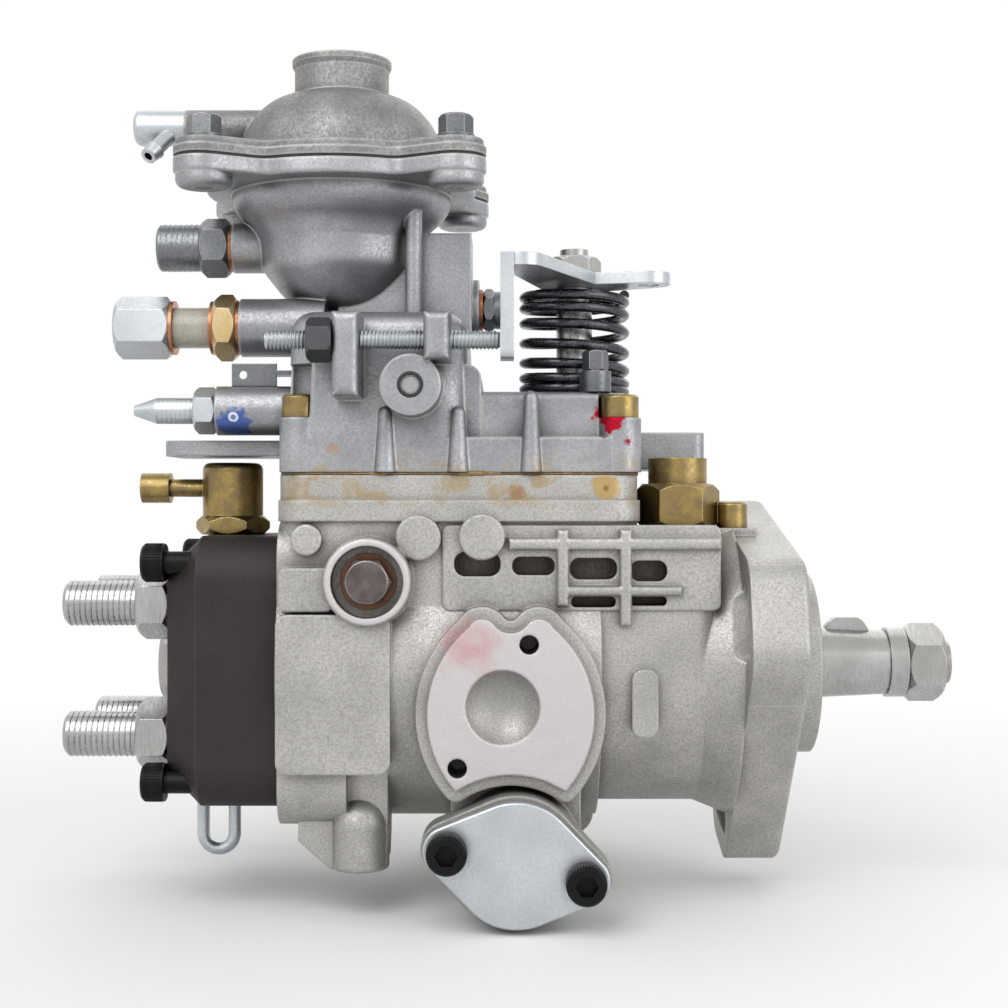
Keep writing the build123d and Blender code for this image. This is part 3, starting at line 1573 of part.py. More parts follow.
def make_full_load_screw():
    point_right = -full_load_tip + full_load_point_len
    point = Cone(full_load_point_r, full_load_r, full_load_point_len)
    point = Pos(point_right - full_load_point_len / 2, -full_load_y, full_load_z) * Rot(0, 90, 0) * point
    return point + round_x(full_load_r, point_right, full_load_right - 2, -full_load_y, full_load_z)


def make_stop_screw():
    screw = round_x(stop_screw_r, -stop_left, -stop_right, -stop_y, stop_z)
    return chamfer(screw.edges().filter_by(GeomType.CIRCLE), edge_break)


def make_lock_nuts():
    left = -full_load_boss_end
    first = hex_x(full_load_flats, left - full_load_nut_len, left, -full_load_y, full_load_z)
    first -= round_x(full_load_r, left - full_load_nut_len, left, -full_load_y, full_load_z)
    left = -lug_left - lug_thick / 2
    second = hex_x(stop_flats, left - stop_nut_len, left, -stop_y, stop_z)
    second -= round_x(stop_screw_r, left - stop_nut_len, left, -stop_y, stop_z)
    return Compound([first, second])


# thin angle with a hole for a seal wire, resting on the barrel of the full-load screw
def make_seal_bracket():
    low = full_load_z + full_load_boss_r
    foot = low + bracket_height / 2
    wall_x = -pedestal_left + (foot - cover_flange_top) * tan(radians(pedestal_taper))
    front = -full_load_y - bracket_thick
    strip = block(-bracket_left, -bracket_bend, front, -full_load_y, low, low + bracket_height)
    hole_x = -bracket_left + bracket_height / 2
    strip -= round_y(bracket_hole_r, front - 1, front + 2 * bracket_thick, hole_x, foot)
    foot_right = front + bracket_height + 2
    bend = -bracket_bend - bracket_thick
    return strip + block(bend, wall_x, front, foot_right, foot, foot + bracket_thick)


def make_side_plug():
    start = -side_plug_x + washer_thick
    hex_end = start + side_plug_hex_len
    plug = hex_x(side_plug_flats, start, hex_end, 0, feeler_z)
    plug += round_x(side_plug_flats / 2, hex_end, hex_end + side_plug_tail, 0, feeler_z)
    return plug + round_x(side_plug_r, -side_plug_x - side_plug_depth, start, 0, feeler_z)


def washer_x(outer, inner, x_low, y, z):
    x_high = x_low + washer_thick
    return round_x(outer, x_low, x_high, y, z) - round_x(inner, x_low, x_high, y, z)


def make_copper_washers():
    outer = return_nut_flats / 2 - edge_break
    rings = [washer_x(outer, return_bolt_r, left, -return_y, return_z) for left in return_stations()]
    rings.append(washer_x(side_plug_flats / 2 + edge_break, side_plug_r, -side_plug_x, 0, feeler_z))
    rings.append(washer_x(vent_flats / 2 - edge_break, vent_stem_r, -vent_end - washer_thick, 0, vent_z))
    seat = -pad_y + pivot_recess
    ring = round_y(pivot_washer_r, seat - washer_thick, seat, -lever_x, lever_z)
    ring -= round_y(pivot_thread_r, seat - washer_thick, seat, -lever_x, lever_z)
    return Compound([*rings, ring, mirrored(ring)])


def make_pivot_bolts():
    seat = -pad_y + pivot_recess - washer_thick
    head = Pos(-lever_x, seat, lever_z) * Rot(90, 0, 0) * hexagon(pivot_flats, pivot_head_len)
    bolt = head + round_y(pivot_thread_r, seat - 1, seat, -lever_x, lever_z)
    bolt += round_y(pivot_thread_r, seat, -chamber_half + 1, -lever_x, lever_z)
    bolt += round_y(pivot_pin_r, -chamber_half, -lever_hub_half + 5, -lever_x, lever_z)
    return Compound([bolt, mirrored(bolt)])


# throttle
def upright(radius, z_low, z_high):
    return round_z(radius, z_low, z_high, -throttle_x, -throttle_y)


# an arm at the shaft's foot carries the pin that the governor spring reaches to
def make_throttle_shaft():
    lever_top = throttle_lever_z + throttle_lever_thick
    nut_top = lever_top + lever_nut_len
    arm_low = cover_inner_top - arm_thick - gap
    shaft = upright(throttle_shaft_r, arm_low, throttle_lever_z)
    shaft += upright(throttle_stud_r, throttle_lever_z, nut_top + 2)
    collar_low = throttle_boss_top + gap
    shaft += upright(throttle_collar_r, collar_low, collar_low + throttle_collar_len)
    turn = radians(180 - throttle_range / 2)
    pin_x = -throttle_x + eccentric * cos(turn)
    pin_y = -throttle_y + eccentric * sin(turn)
    root = Pos(-throttle_x, -throttle_y) * Circle(throttle_shaft_r)
    tip = Pos(pin_x, pin_y) * Circle(eccentric_r)
    shaft += Pos(0, 0, arm_low) * extrude(make_hull([*root.edges(), *tip.edges()]), arm_thick)
    shaft += round_z(eccentric_pin_r, governor_spring_z - eccentric_pin_low, arm_low, pin_x, pin_y)
    nut = hex_z(lever_nut_flats, lever_top, nut_top, -throttle_x, -throttle_y)
    return Compound([shaft, nut - upright(throttle_stud_r, lever_top, nut_top)])


def make_throttle_lever():
    top = throttle_lever_z + throttle_lever_thick
    front = -stop_y - lug_out
    hub = Pos(-throttle_x, -throttle_y) * Circle(lever_hub)
    end = Pos(-tab_x + lever_tip_r, front + lever_tip_r) * Circle(lever_tip_r)
    link = Pos(-throttle_x + link_reach, -throttle_y - link_side)
    arm = make_hull([*hub.edges(), *end.edges()])
    arm += make_hull([*hub.edges(), *(link * Circle(link_end_r)).edges()])
    arm -= link * Circle(link_hole_r)
    lever = Pos(0, 0, throttle_lever_z) * extrude(arm, throttle_lever_thick)
    tab = block(-tab_x, -tab_x + tab_thick, front, front + tab_w, tab_low, top)
    lever += fillet(tab.edges().filter_by(Axis.X).group_by(Axis.Z)[0], cast_round)
    return lever - upright(throttle_stud_r, throttle_lever_z, top)


def make_return_spring():
    low = cover_low_z + gap
    high = throttle_lever_z - gap
    spring = coil(return_spring_r, return_spring_wire, high - low, return_spring_turns)
    return Pos(-throttle_x, -throttle_y, low) * spring


def make_anchor_bolt():
    bolt = hex_z(anchor_flats, anchor_hex_low, anchor_hex_top, -anchor_x, -anchor_y)
    bolt += round_z(anchor_body_r, cover_low_z, anchor_hex_low, -anchor_x, -anchor_y)
    return bolt + round_z(anchor_thread_r, cover_low_z - 4, cover_low_z, -anchor_x, -anchor_y)


# fuel inlet and pressure valve, both standing on the low deck
def make_inlet_fittings():
    return Compound([make_inlet(), make_pressure_valve()])


def make_inlet():
    low = low_deck_z - inlet_depth
    hex_top = low_deck_z + inlet_len
    top = hex_top + inlet_neck_len
    union = hex_z(inlet_flats, low_deck_z, hex_top, -inlet_x, -inlet_y)
    union += round_z(inlet_neck_r, hex_top, top, -inlet_x, -inlet_y)
    union += round_z(inlet_thread_r, low, low_deck_z, -inlet_x, -inlet_y)
    return union - round_z(inlet_bore_r, low, top, -inlet_x, -inlet_y)


def make_pressure_valve():
    top = low_deck_z + valve_plug_len
    plug = round_z(valve_plug_r, low_deck_z, top, -valve_plug_x, -inlet_y)
    plug = chamfer(plug.edges().group_by(Axis.Z)[-1], edge_break)
    plug += round_z(valve_thread_r, low_deck_z - valve_depth, low_deck_z, -valve_plug_x, -inlet_y)
    socket = extrude(RegularPolygon(valve_socket_flats / 2, 6, major_radius=False), valve_socket_depth + 1)
    return plug - Pos(-valve_plug_x, -inlet_y, top - valve_socket_depth) * socket


nodes = {
    "pump_housing": make_housing,
    "drive_shaft": make_shaft,
    "woodruff_key": make_key,
    "shaft_nut": make_shaft_nut,
    "shaft_bush": make_bush,
    "shaft_seal": make_seal,
    "vane_pump_ring": make_pump_ring,
    "vane_pump_rotor": make_rotor,
    "governor_drive_gear": make_drive_gear,
    "flyweight_carrier": make_carrier,
    "flyweights": make_flyweights,
    "governor_shaft": make_governor_shaft,
    "sliding_sleeve": make_sleeve,
    "governor_lever": make_governor_lever,
    "governor_spring": make_governor_spring,
    "coupling_cross": make_cross,
    "cam_plate": make_cam_plate,
    "plunger": make_plunger,
    "plunger_springs": make_plunger_springs,
    "control_collar": make_collar,
    "roller_ring": make_roller_ring,
    "timing_piston": make_timing_piston,
    "timing_spring": make_timing_spring,
    "timing_covers": make_timing_covers,
    "distributor_head": make_head,
    "distributor_barrel": make_barrel,
    "head_plug": make_head_plug,
    "delivery_valve_holders": make_holders,
    "delivery_valves": make_delivery_valves,
    "shutoff_solenoid": make_solenoid,
    "solenoid_plunger": make_solenoid_plunger,
    "lifting_eye": make_lifting_eye,
    "socket_screws": make_socket_screws,
    "governor_cover": make_cover,
    "cover_gasket": make_gasket,
    "cover_bolts": make_cover_bolts,
    "boost_cover": make_comp_cover,
    "boost_diaphragm": make_membrane,
    "boost_cover_screws": make_comp_screws,
    "boost_pin": make_comp_pin,
    "boost_spring": make_comp_spring,
    "feeler_pin": make_feeler,
    "reverse_lever": make_reverse_lever,
    "boost_inlet_elbow": make_elbow,
    "vent_union": make_vent_union,
    "return_adapter_nut": make_return_nut,
    "return_sleeve": make_return_sleeve,
    "return_bolt": make_return_bolt,
    "full_load_screw": make_full_load_screw,
    "speed_stop_screw": make_stop_screw,
    "lock_nuts": make_lock_nuts,
    "seal_bracket": make_seal_bracket,
    "side_plug": make_side_plug,
    "copper_washers": make_copper_washers,
    "pivot_bolts": make_pivot_bolts,
    "throttle_shaft": make_throttle_shaft,
    "throttle_lever": make_throttle_lever,
    "return_spring": make_return_spring,
    "spring_anchor_bolt": make_anchor_bolt,
    "inlet_fittings": make_inlet_fittings,
}

os.makedirs("parts", exist_ok=True)
for name, build in nodes.items():
    export_step(build(), f"parts/{name}.step")
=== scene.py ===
import json
import math

import bpy
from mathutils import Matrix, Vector


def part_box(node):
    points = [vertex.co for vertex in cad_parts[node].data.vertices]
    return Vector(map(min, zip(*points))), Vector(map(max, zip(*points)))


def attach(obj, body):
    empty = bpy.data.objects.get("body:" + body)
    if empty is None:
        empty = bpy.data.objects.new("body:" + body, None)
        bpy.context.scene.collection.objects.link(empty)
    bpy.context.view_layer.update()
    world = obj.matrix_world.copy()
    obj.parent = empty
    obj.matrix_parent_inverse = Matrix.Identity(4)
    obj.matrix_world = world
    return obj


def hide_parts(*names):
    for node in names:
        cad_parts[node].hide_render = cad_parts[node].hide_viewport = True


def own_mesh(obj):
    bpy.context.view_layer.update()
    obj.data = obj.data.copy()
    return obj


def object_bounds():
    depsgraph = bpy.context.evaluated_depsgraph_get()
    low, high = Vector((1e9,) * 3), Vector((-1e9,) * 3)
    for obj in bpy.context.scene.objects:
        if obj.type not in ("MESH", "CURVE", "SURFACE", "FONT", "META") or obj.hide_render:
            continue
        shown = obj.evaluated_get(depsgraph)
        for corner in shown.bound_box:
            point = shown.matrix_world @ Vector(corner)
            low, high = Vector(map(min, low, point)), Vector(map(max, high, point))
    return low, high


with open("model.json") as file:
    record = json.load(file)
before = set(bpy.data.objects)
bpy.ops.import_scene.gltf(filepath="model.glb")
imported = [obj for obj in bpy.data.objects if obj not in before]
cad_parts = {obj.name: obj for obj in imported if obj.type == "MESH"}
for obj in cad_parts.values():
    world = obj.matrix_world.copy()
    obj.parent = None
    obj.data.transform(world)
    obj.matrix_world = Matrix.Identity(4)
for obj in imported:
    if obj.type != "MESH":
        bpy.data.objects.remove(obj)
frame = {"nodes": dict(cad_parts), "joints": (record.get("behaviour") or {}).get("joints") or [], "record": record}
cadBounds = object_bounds()
nodes = frame["nodes"]
mm = 0.001
quarter = math.pi / 2
print("frame loaded:", len(nodes), "nodes")


# sRGB hex code to a linear colour
def toLinear(code):
    channels = [int(code[i:i + 2], 16) / 255 for i in (1, 3, 5)]
    return tuple(c / 12.92 if c <= 0.04045 else ((c + 0.055) / 1.055) ** 2.4 for c in channels) + (1.0,)


# a node with its settings and links: inputs by name or in order, and out picks one of its outputs
def addNode(tree, kind, inputs=(), out=None, **settings):
    node = tree.nodes.new(kind)
    for key, value in settings.items():
        setattr(node, key, value)
    for key, value in inputs.items() if isinstance(inputs, dict) else enumerate(inputs):
        if isinstance(value, bpy.types.NodeSocket):
            tree.links.new(value, node.inputs[key])
        else:
            node.inputs[key].default_value = value
    return node if out is None else node.outputs[out]


def newMaterial(name):
    mat = bpy.data.materials.new(name)
    mat.use_nodes = True
    tree = mat.node_tree
    tree.nodes.clear()
    shader = addNode(tree, "ShaderNodeBsdfPrincipled")
    addNode(tree, "ShaderNodeOutputMaterial", {0: shader.outputs[0]})
    return mat, tree, shader


# how far a noise or a measure has to go for the whole change from none to all
bands = {"patches": (0.35, 0.65), "speck": (0.32, 0.68), "nook": (0.25, 0.85), "edge": (0.995, 0.90),
         "sealant": (0.50, 0.60), "sheen": (0.3, 0.7), "bead": (0.45, 0.68)}
# what a metal has where its own settings say nothing; sizes in mm, amounts from 0 to 1
usualMetal = {"patchMm": 14, "speck": 0.4, "edgeMm": 0.5, "shadeAndDirt": 0, "shadeAndDirtMm": 6, "shadeAndDirtTone": "#3d342b",
              "worn": 0, "wornTone": "#e4e3e0", "metallic": 1.0, "bumpMm": 0.08, "skinMm": 0, "skin": 1.5,
              "marks": []}


# metals: patches of tone, a fine speckle, painted shade with dirt in the recesses from ambient occlusion, bright
# worn edges and marks
def metalFinish(name, ownLook):
    look = {**usualMetal, **ownLook}
    mat, tree, shader = newMaterial(name)
    point = addNode(tree, "ShaderNodeTexCoord", out="Object")
    grain = point
    if "stretch" in look:    # turned or ground round one axis
        grain = addNode(tree, "ShaderNodeVectorMath", (point, look["stretch"]), 0, operation="MULTIPLY")
    cloud = {"Vector": point, "Scale": 1000 / look["patchMm"], "Detail": 3}
    patches = addNode(tree, "ShaderNodeTexNoise", cloud, "Fac")
    patches = addNode(tree, "ShaderNodeMapRange", (patches, *bands["patches"]), 0)
    grit = {"Vector": grain, "Scale": 1000 / look["grainMm"], "Detail": 3, "Roughness": 0.6}
    speck = addNode(tree, "ShaderNodeTexNoise", grit, "Fac")
    speck = addNode(tree, "ShaderNodeMapRange", (speck, *bands["speck"]), 0)
    faint = addNode(tree, "ShaderNodeMath", (speck, look["speck"]), 0, operation="MULTIPLY")
    layers = [(patches, look["toneTwo"]), (faint, look["grainTone"])]
    soft = addNode(tree, "ShaderNodeBevel", {"Radius": look["edgeMm"] * mm}, 0, samples=4)
    # painted shade with dirt: ambient occlusion darkens corners and recesses towards the dirt tone
    if look["shadeAndDirt"]:
        reach = {"Distance": look["shadeAndDirtMm"] * mm}
        nook = addNode(tree, "ShaderNodeAmbientOcclusion", reach, "AO", samples=6)
        depth = addNode(tree, "ShaderNodeMapRange", (nook, *bands["nook"], look["shadeAndDirt"], 0.0), 0)
        layers.append((depth, look["shadeAndDirtTone"]))
    if look["worn"]:
        flat = addNode(tree, "ShaderNodeNewGeometry", out="Normal")
        same = addNode(tree, "ShaderNodeVectorMath", (flat, soft), "Value", operation="DOT_PRODUCT")
        rubbed = addNode(tree, "ShaderNodeMapRange", (same, *bands["edge"], 0.0, look["worn"]), 0)
        layers.append((rubbed, look["wornTone"]))
    layers += [mark(tree, point) for mark in look["marks"]]
    colour = toLinear(look["tone"])
    for amount, tone in layers:    # each lies over the last, as far as its own amount lets it show
        mixed = {0: amount, 6: colour, 7: toLinear(tone)}
        colour = addNode(tree, "ShaderNodeMix", mixed, 2, data_type="RGBA")
    tree.links.new(colour, shader.inputs["Base Color"])
    shader.inputs["Metallic"].default_value = look["metallic"]
    rough = addNode(tree, "ShaderNodeMapRange", (speck, 0.0, 1.0, *look["rough"]), 0)
    tree.links.new(rough, shader.inputs["Roughness"])
    height = addNode(tree, "ShaderNodeTexNoise", {**grit, "Detail": 2}, "Fac")
    if look["skinMm"]:    # slow waviness of a cast or forged skin
        skin = addNode(tree, "ShaderNodeTexNoise", {"Vector": point, "Scale": 1000 / look["skinMm"]}, "Fac")
        height = addNode(tree, "ShaderNodeMath", (skin, look["skin"], height), 0, operation="MULTIPLY_ADD")
    relief = {"Height": height, "Strength": look["bump"], "Normal": soft, "Distance": look["bumpMm"] * mm}
    tree.links.new(addNode(tree, "ShaderNodeBump", relief, 0), shader.inputs["Normal"])
    return mat


# a mark has a place on the object, in mm, and gives how much of its tone shows at a point;
# this one is a round spot of paint or stain with a ragged rim
def paintSpot(place, radiusMm, tone, strength=1.0, ragged=0.35, rimMm=1.0):
    def mark(tree, point):
        toMiddle = (point, Vector(place) * mm)
        away = addNode(tree, "ShaderNodeVectorMath", toMiddle, "Value", operation="DISTANCE")
        lobeMm = radiusMm * 0.55
        cloud = {"Vector": point, "Scale": 1000 / lobeMm, "Detail": 3}
        lobes = addNode(tree, "ShaderNodeTexNoise", cloud, "Fac")
        offset = addNode(tree, "ShaderNodeMath", (lobes, 0.5), 0, operation="SUBTRACT")
        swing = 0.25    # how far the noise strays from its middle
        uneven = (offset, ragged / swing * radiusMm * mm, away)
        reach = addNode(tree, "ShaderNodeMath", uneven, 0, operation="MULTIPLY_ADD")
        inside = (reach, radiusMm * mm, (radiusMm - rimMm) * mm, 0.0, strength)
        return addNode(tree, "ShaderNodeMapRange", inside, 0), tone
    return mark


# a machined face, which lies across one axis
def milledFace(axis, placeMm, tone, strength=0.85, wholeMm=0.06, goneMm=0.096):
    def mark(tree, point):
        parts = addNode(tree, "ShaderNodeSeparateXYZ", (point,))
        ahead = addNode(tree, "ShaderNodeMath", (parts.outputs[axis], placeMm * mm), 0, operation="SUBTRACT")
        away = addNode(tree, "ShaderNodeMath", (ahead,), 0, operation="ABSOLUTE")
        return addNode(tree, "ShaderNodeMapRange", (away, goneMm * mm, wholeMm * mm, 0.0, strength), 0), tone
    return mark


# a box with soft edges, such as one dark nut among bright ones
def tonedBox(low, high, tone, strength=1.0, softMm=0.4):
    def mark(tree, point):
        parts = addNode(tree, "ShaderNodeSeparateXYZ", (point,))
        amount = strength
        for axis in range(3):
            for start, end in ((low[axis], low[axis] + softMm), (high[axis], high[axis] - softMm)):
                inside = addNode(tree, "ShaderNodeMapRange", (parts.outputs[axis], start * mm, end * mm), 0)
                amount = addNode(tree, "ShaderNodeMath", (amount, inside), 0, operation="MULTIPLY")
        return amount, tone
    return mark


# sealant that has run in patches along the joint between housing and cover
def jointStain(lowZ, highZ, tone, strength, fadeLow=3, fadeHigh=4, patchMm=9):
    def mark(tree, point):
        height = addNode(tree, "ShaderNodeSeparateXYZ", (point,), "Z")
        cloud = {"Vector": point, "Scale": 1000 / patchMm, "Detail": 4, "Roughness": 0.6, "Distortion": 0.6}
        patches = addNode(tree, "ShaderNodeTexNoise", cloud, "Fac")
        fromBelow = (height, lowZ * mm, (lowZ + fadeLow) * mm)
        fromAbove = (height, highZ * mm, (highZ - fadeHigh) * mm)
        amount = strength
        for limits in (fromBelow, fromAbove, (patches, *bands["sealant"])):
            inside = addNode(tree, "ShaderNodeMapRange", limits, 0)
            amount = addNode(tree, "ShaderNodeMath", (amount, inside), 0, operation="MULTIPLY")
        return amount, tone
    return mark


coverFront = -38.0    # y in mm of the faces that the paint and the sealant are on
padFront = -46.0
housingMarks = [
    milledFace(axis=1, placeMm=padFront, tone="#c9c6c6"),
    milledFace(axis=0, placeMm=0.0, tone="#c6c4c2"),    # mounting face of the flange
    # shade in the pockets of the neck
    tonedBox(low=(-91, coverFront - 0.1, 16), high=(-33, -30, 33), tone="#39322a", strength=0.8, softMm=0.8),
    # the dish in the pad, a darker grey
    tonedBox(low=(-88, padFront + 0.2, -17), high=(-67, coverFront, 4), tone="#8b8986", strength=0.45),
    jointStain(lowZ=43, highZ=55, tone="#a38a5a", strength=0.6),
    # a drop of sealant, darker in the middle
    paintSpot(place=(-50.7, coverFront, 48.9), radiusMm=4.0, tone="#b39557", strength=0.85, ragged=0.2),
    paintSpot(place=(-50.7, coverFront, 48.6), radiusMm=1.1, tone="#6b4a1c", strength=0.75),
    # rust-brown stain, and red paint wiped over the pad
    paintSpot(place=(-73.6, coverFront, 47.5), radiusMm=2.2, tone="#8d5a3a", strength=0.5),
    paintSpot(place=(-86, padFront, 9), radiusMm=9.5, tone="#c4565c", strength=0.38, ragged=0.5, rimMm=8)]
coverMarks = [
    jointStain(lowZ=50, highZ=58, tone="#a68a5c", strength=0.4),
    # painted sheen: the bowl's side a little brighter and bluer
    tonedBox(low=(-141, -60, 105), high=(-105, -18, 117), tone="#b9bdc6", strength=0.12, softMm=3),
    # blue paint at the left with a white ring on it
    paintSpot(place=(-149, -28, 64.5), radiusMm=5.4, tone="#2f55a8", strength=0.8),
    paintSpot(place=(-148.8, -28, 67.6), radiusMm=1.5, tone="#e6e9ee", ragged=0.05, rimMm=0.3),
    paintSpot(place=(-148.8, -28, 67.6), radiusMm=0.95, tone="#6f86b5", ragged=0.05, rimMm=0.3),
    # red paint on the corner, with a drip, and a rust-brown stain
    paintSpot(place=(-50, coverFront, 68), radiusMm=5.2, tone="#a8132a", ragged=0.5),
    paintSpot(place=(-45.2, coverFront, 60.8), radiusMm=1.3, tone="#7d1020"),
    paintSpot(place=(-121.6, coverFront, 59), radiusMm=2.0, tone="#a88468", strength=0.6)]
# the stop screw's lock nut, and the washer under the pivot bolt
oiledNut = [tonedBox(low=(-146, -60, 78), high=(-119, -40, 94), tone="#2f3032", strength=0.87)]
darkWasher = [tonedBox(low=(-124, -60, 13), high=(-100, -30, 38), tone="#3d332d", strength=0.8)]

metals = {
    "sandCastAluminium": {    # pale grey, blasted, with a fine sparkling grit
        "tone": "#c2c0bc", "toneTwo": "#aeada9", "grainTone": "#87847f", "grainMm": 0.55, "speck": 0.6,
        "rough": (0.4, 0.6), "bump": 0.55, "bumpMm": 0.14, "skinMm": 4, "skin": 1.3, "edgeMm": 0.9,
        "shadeAndDirt": 0.85, "shadeAndDirtMm": 5, "shadeAndDirtTone": "#3f372e", "worn": 0.3, "metallic": 0.85,
        "marks": housingMarks},
    "pressureCastAluminium": {    # cooler and darker, smooth with flow marks and burnished corners
        "tone": "#b0b1b3", "toneTwo": "#999a9d", "grainTone": "#77797d", "grainMm": 0.65, "speck": 0.5,
        "rough": (0.34, 0.54), "bump": 0.42, "bumpMm": 0.1, "skinMm": 6, "skin": 1.8, "edgeMm": 1.0,
        "shadeAndDirt": 0.8, "shadeAndDirtMm": 6, "shadeAndDirtTone": "#3d3a36", "worn": 0.55, "metallic": 0.9, "marks": coverMarks},
    "boostCastAluminium": {    # mid grey, coarse die skin, rims rubbed bright
        "tone": "#a09f9d", "toneTwo": "#878684", "grainTone": "#646361", "grainMm": 0.75, "speck": 0.55,
        "patchMm": 9, "rough": (0.44, 0.64), "bump": 0.6, "bumpMm": 0.12, "skinMm": 5, "skin": 1.8,
        "edgeMm": 0.8, "shadeAndDirt": 0.7, "shadeAndDirtMm": 5, "shadeAndDirtTone": "#44413d", "worn": 0.8, "metallic": 0.85},
    "phosphatedSteel": {    # matt brown-black coat with a fine crystal grain
        "tone": "#312d2b", "toneTwo": "#262321", "grainTone": "#474240", "grainMm": 0.6, "speck": 0.55,
        "rough": (0.5, 0.7), "bump": 0.5, "bumpMm": 0.1, "skinMm": 5, "skin": 1.0, "edgeMm": 0.8,
        "shadeAndDirt": 0.5, "shadeAndDirtTone": "#15130f", "worn": 0.3, "wornTone": "#6c6862", "metallic": 0.6},
    "groundSteel": {    # turned and ground, faint rings round the axis
        "tone": "#bdbcba", "toneTwo": "#a9a8a5", "grainTone": "#868481", "grainMm": 0.5,
        "stretch": (1, 0.15, 0.15), "rough": (0.2, 0.34), "bump": 0.14, "bumpMm": 0.03, "edgeMm": 0.3,
        "shadeAndDirt": 0.4, "shadeAndDirtMm": 3, "shadeAndDirtTone": "#4d4a46", "worn": 0.2},
    "springSteel": {    # oil-tempered wire, dark with bright highlights
        "tone": "#47494d", "toneTwo": "#313337", "grainTone": "#808286", "grainMm": 0.8, "speck": 0.35,
        "rough": (0.18, 0.32), "bump": 0.12, "bumpMm": 0.03, "edgeMm": 0.2, "shadeAndDirt": 0.5, "shadeAndDirtMm": 4,
        "shadeAndDirtTone": "#1d1d1f"},
    "brightZinc": {    # bright passivated zinc, faint blue, handled
        "tone": "#d0d4d7", "toneTwo": "#bec3c6", "grainTone": "#9a9fa3", "grainMm": 0.9, "speck": 0.32,
        "rough": (0.32, 0.46), "bump": 0.12, "bumpMm": 0.04, "edgeMm": 0.35, "shadeAndDirt": 0.5, "shadeAndDirtMm": 3,
        "shadeAndDirtTone": "#4b4d50"},
    "dullZinc": {    # old zinc gone grey
        "tone": "#85888a", "toneTwo": "#6d7073", "grainTone": "#535558", "grainMm": 0.8, "speck": 0.45,
        "rough": (0.3, 0.46), "bump": 0.2, "bumpMm": 0.05, "edgeMm": 0.35, "shadeAndDirt": 0.7, "shadeAndDirtMm": 3,
        "shadeAndDirtTone": "#2d2c2b", "worn": 0.4},
    "blackenedBolt": {    # forged bolt, dark with a reddish heat tint
        "tone": "#7b7271", "toneTwo": "#5f5350", "grainTone": "#453f3e", "grainMm": 0.7, "patchMm": 5,
        "rough": (0.24, 0.4), "bump": 0.16, "bumpMm": 0.04, "edgeMm": 0.4, "shadeAndDirt": 0.8, "shadeAndDirtMm": 3,
        "shadeAndDirtTone": "#1c1614", "worn": 0.5},
    "yellowZinc": {    # bichromate zinc, straw with olive-brown patches and pale rubbed edges
        "tone": "#a8925a", "toneTwo": "#8c7a5a", "grainTone": "#6d5b30", "grainMm": 0.9, "patchMm": 4,
        "rough": (0.26, 0.42), "bump": 0.14, "bumpMm": 0.04, "edgeMm": 0.4, "shadeAndDirt": 0.7, "shadeAndDirtMm": 3,
        "shadeAndDirtTone": "#33260f", "worn": 0.5, "wornTone": "#d9c48c"},
    "blackOxideSteel": {    # oiled black, a soft sheen
        "tone": "#0b0b0c", "toneTwo": "#101012", "grainTone": "#1d1d20", "grainMm": 0.6,
        "rough": (0.34, 0.48), "bump": 0.15, "bumpMm": 0.04, "edgeMm": 0.25, "metallic": 0.7},
    "turnedBrass": {    # pale gold, handled, painted brown shade with dirt in the corners
        "tone": "#e2cfa8", "toneTwo": "#c9b080", "grainTone": "#957849", "grainMm": 0.6,
        "rough": (0.26, 0.42), "bump": 0.14, "bumpMm": 0.04, "edgeMm": 0.35, "shadeAndDirt": 0.7, "shadeAndDirtMm": 3,
        "shadeAndDirtTone": "#4a3618", "worn": 0.4, "wornTone": "#ecd9a8"},
    "sinteredBronze": {    # open pores, oil-dark
        "tone": "#9a7343", "toneTwo": "#8a653a", "grainTone": "#5f4526", "grainMm": 0.35, "speck": 0.5,
        "rough": (0.4, 0.55), "bump": 0.3, "bumpMm": 0.06, "edgeMm": 0.3},
    "annealedCopper": {    # soft washer, orange with brown tarnish
        "tone": "#b98263", "toneTwo": "#a56c4c", "grainTone": "#7b4d35", "grainMm": 0.7, "speck": 0.35,
        "rough": (0.25, 0.4), "bump": 0.12, "bumpMm": 0.04, "edgeMm": 0.2, "shadeAndDirt": 0.5, "shadeAndDirtMm": 2,
        "marks": darkWasher},
}
metals["nutZinc"] = {**metals["brightZinc"], "marks": oiledNut}    # one nut black with oil
materials = {name: metalFinish(name, look) for name, look in metals.items()}


# moulded and sheet materials: two tones in patches, an uneven sheen and a fine relief
def plainFinish(name, look):
    mat, tree, shader = newMaterial(name)
    point = addNode(tree, "ShaderNodeTexCoord", out="Object")
    cloud = {"Vector": point, "Scale": 1000 / look["patchMm"], "Detail": 3}
    patches = addNode(tree, "ShaderNodeTexNoise", cloud, "Fac")
    patches = addNode(tree, "ShaderNodeMapRange", (patches, *bands["patches"]), 0)
    mixed = {0: patches, 6: toLinear(look["tone"]), 7: toLinear(look["toneTwo"])}
    colour = addNode(tree, "ShaderNodeMix", mixed, 2, data_type="RGBA")
    tree.links.new(colour, shader.inputs["Base Color"])
    grain = addNode(tree, "ShaderNodeTexNoise", {**cloud, "Scale": 1000 / look["grainMm"]}, "Fac")
    sheen = addNode(tree, "ShaderNodeMapRange", (grain, *bands["sheen"], *look["rough"]), 0)
    tree.links.new(sheen, shader.inputs["Roughness"])
    shader.inputs["IOR"].default_value = look["ior"]
    shader.inputs["Transmission Weight"].default_value = look.get("clear", 0.0)
    relief = {"Height": grain, "Strength": look["bump"], "Distance": 0.05 * mm}
    tree.links.new(addNode(tree, "ShaderNodeBump", relief, 0), shader.inputs["Normal"])
    return mat


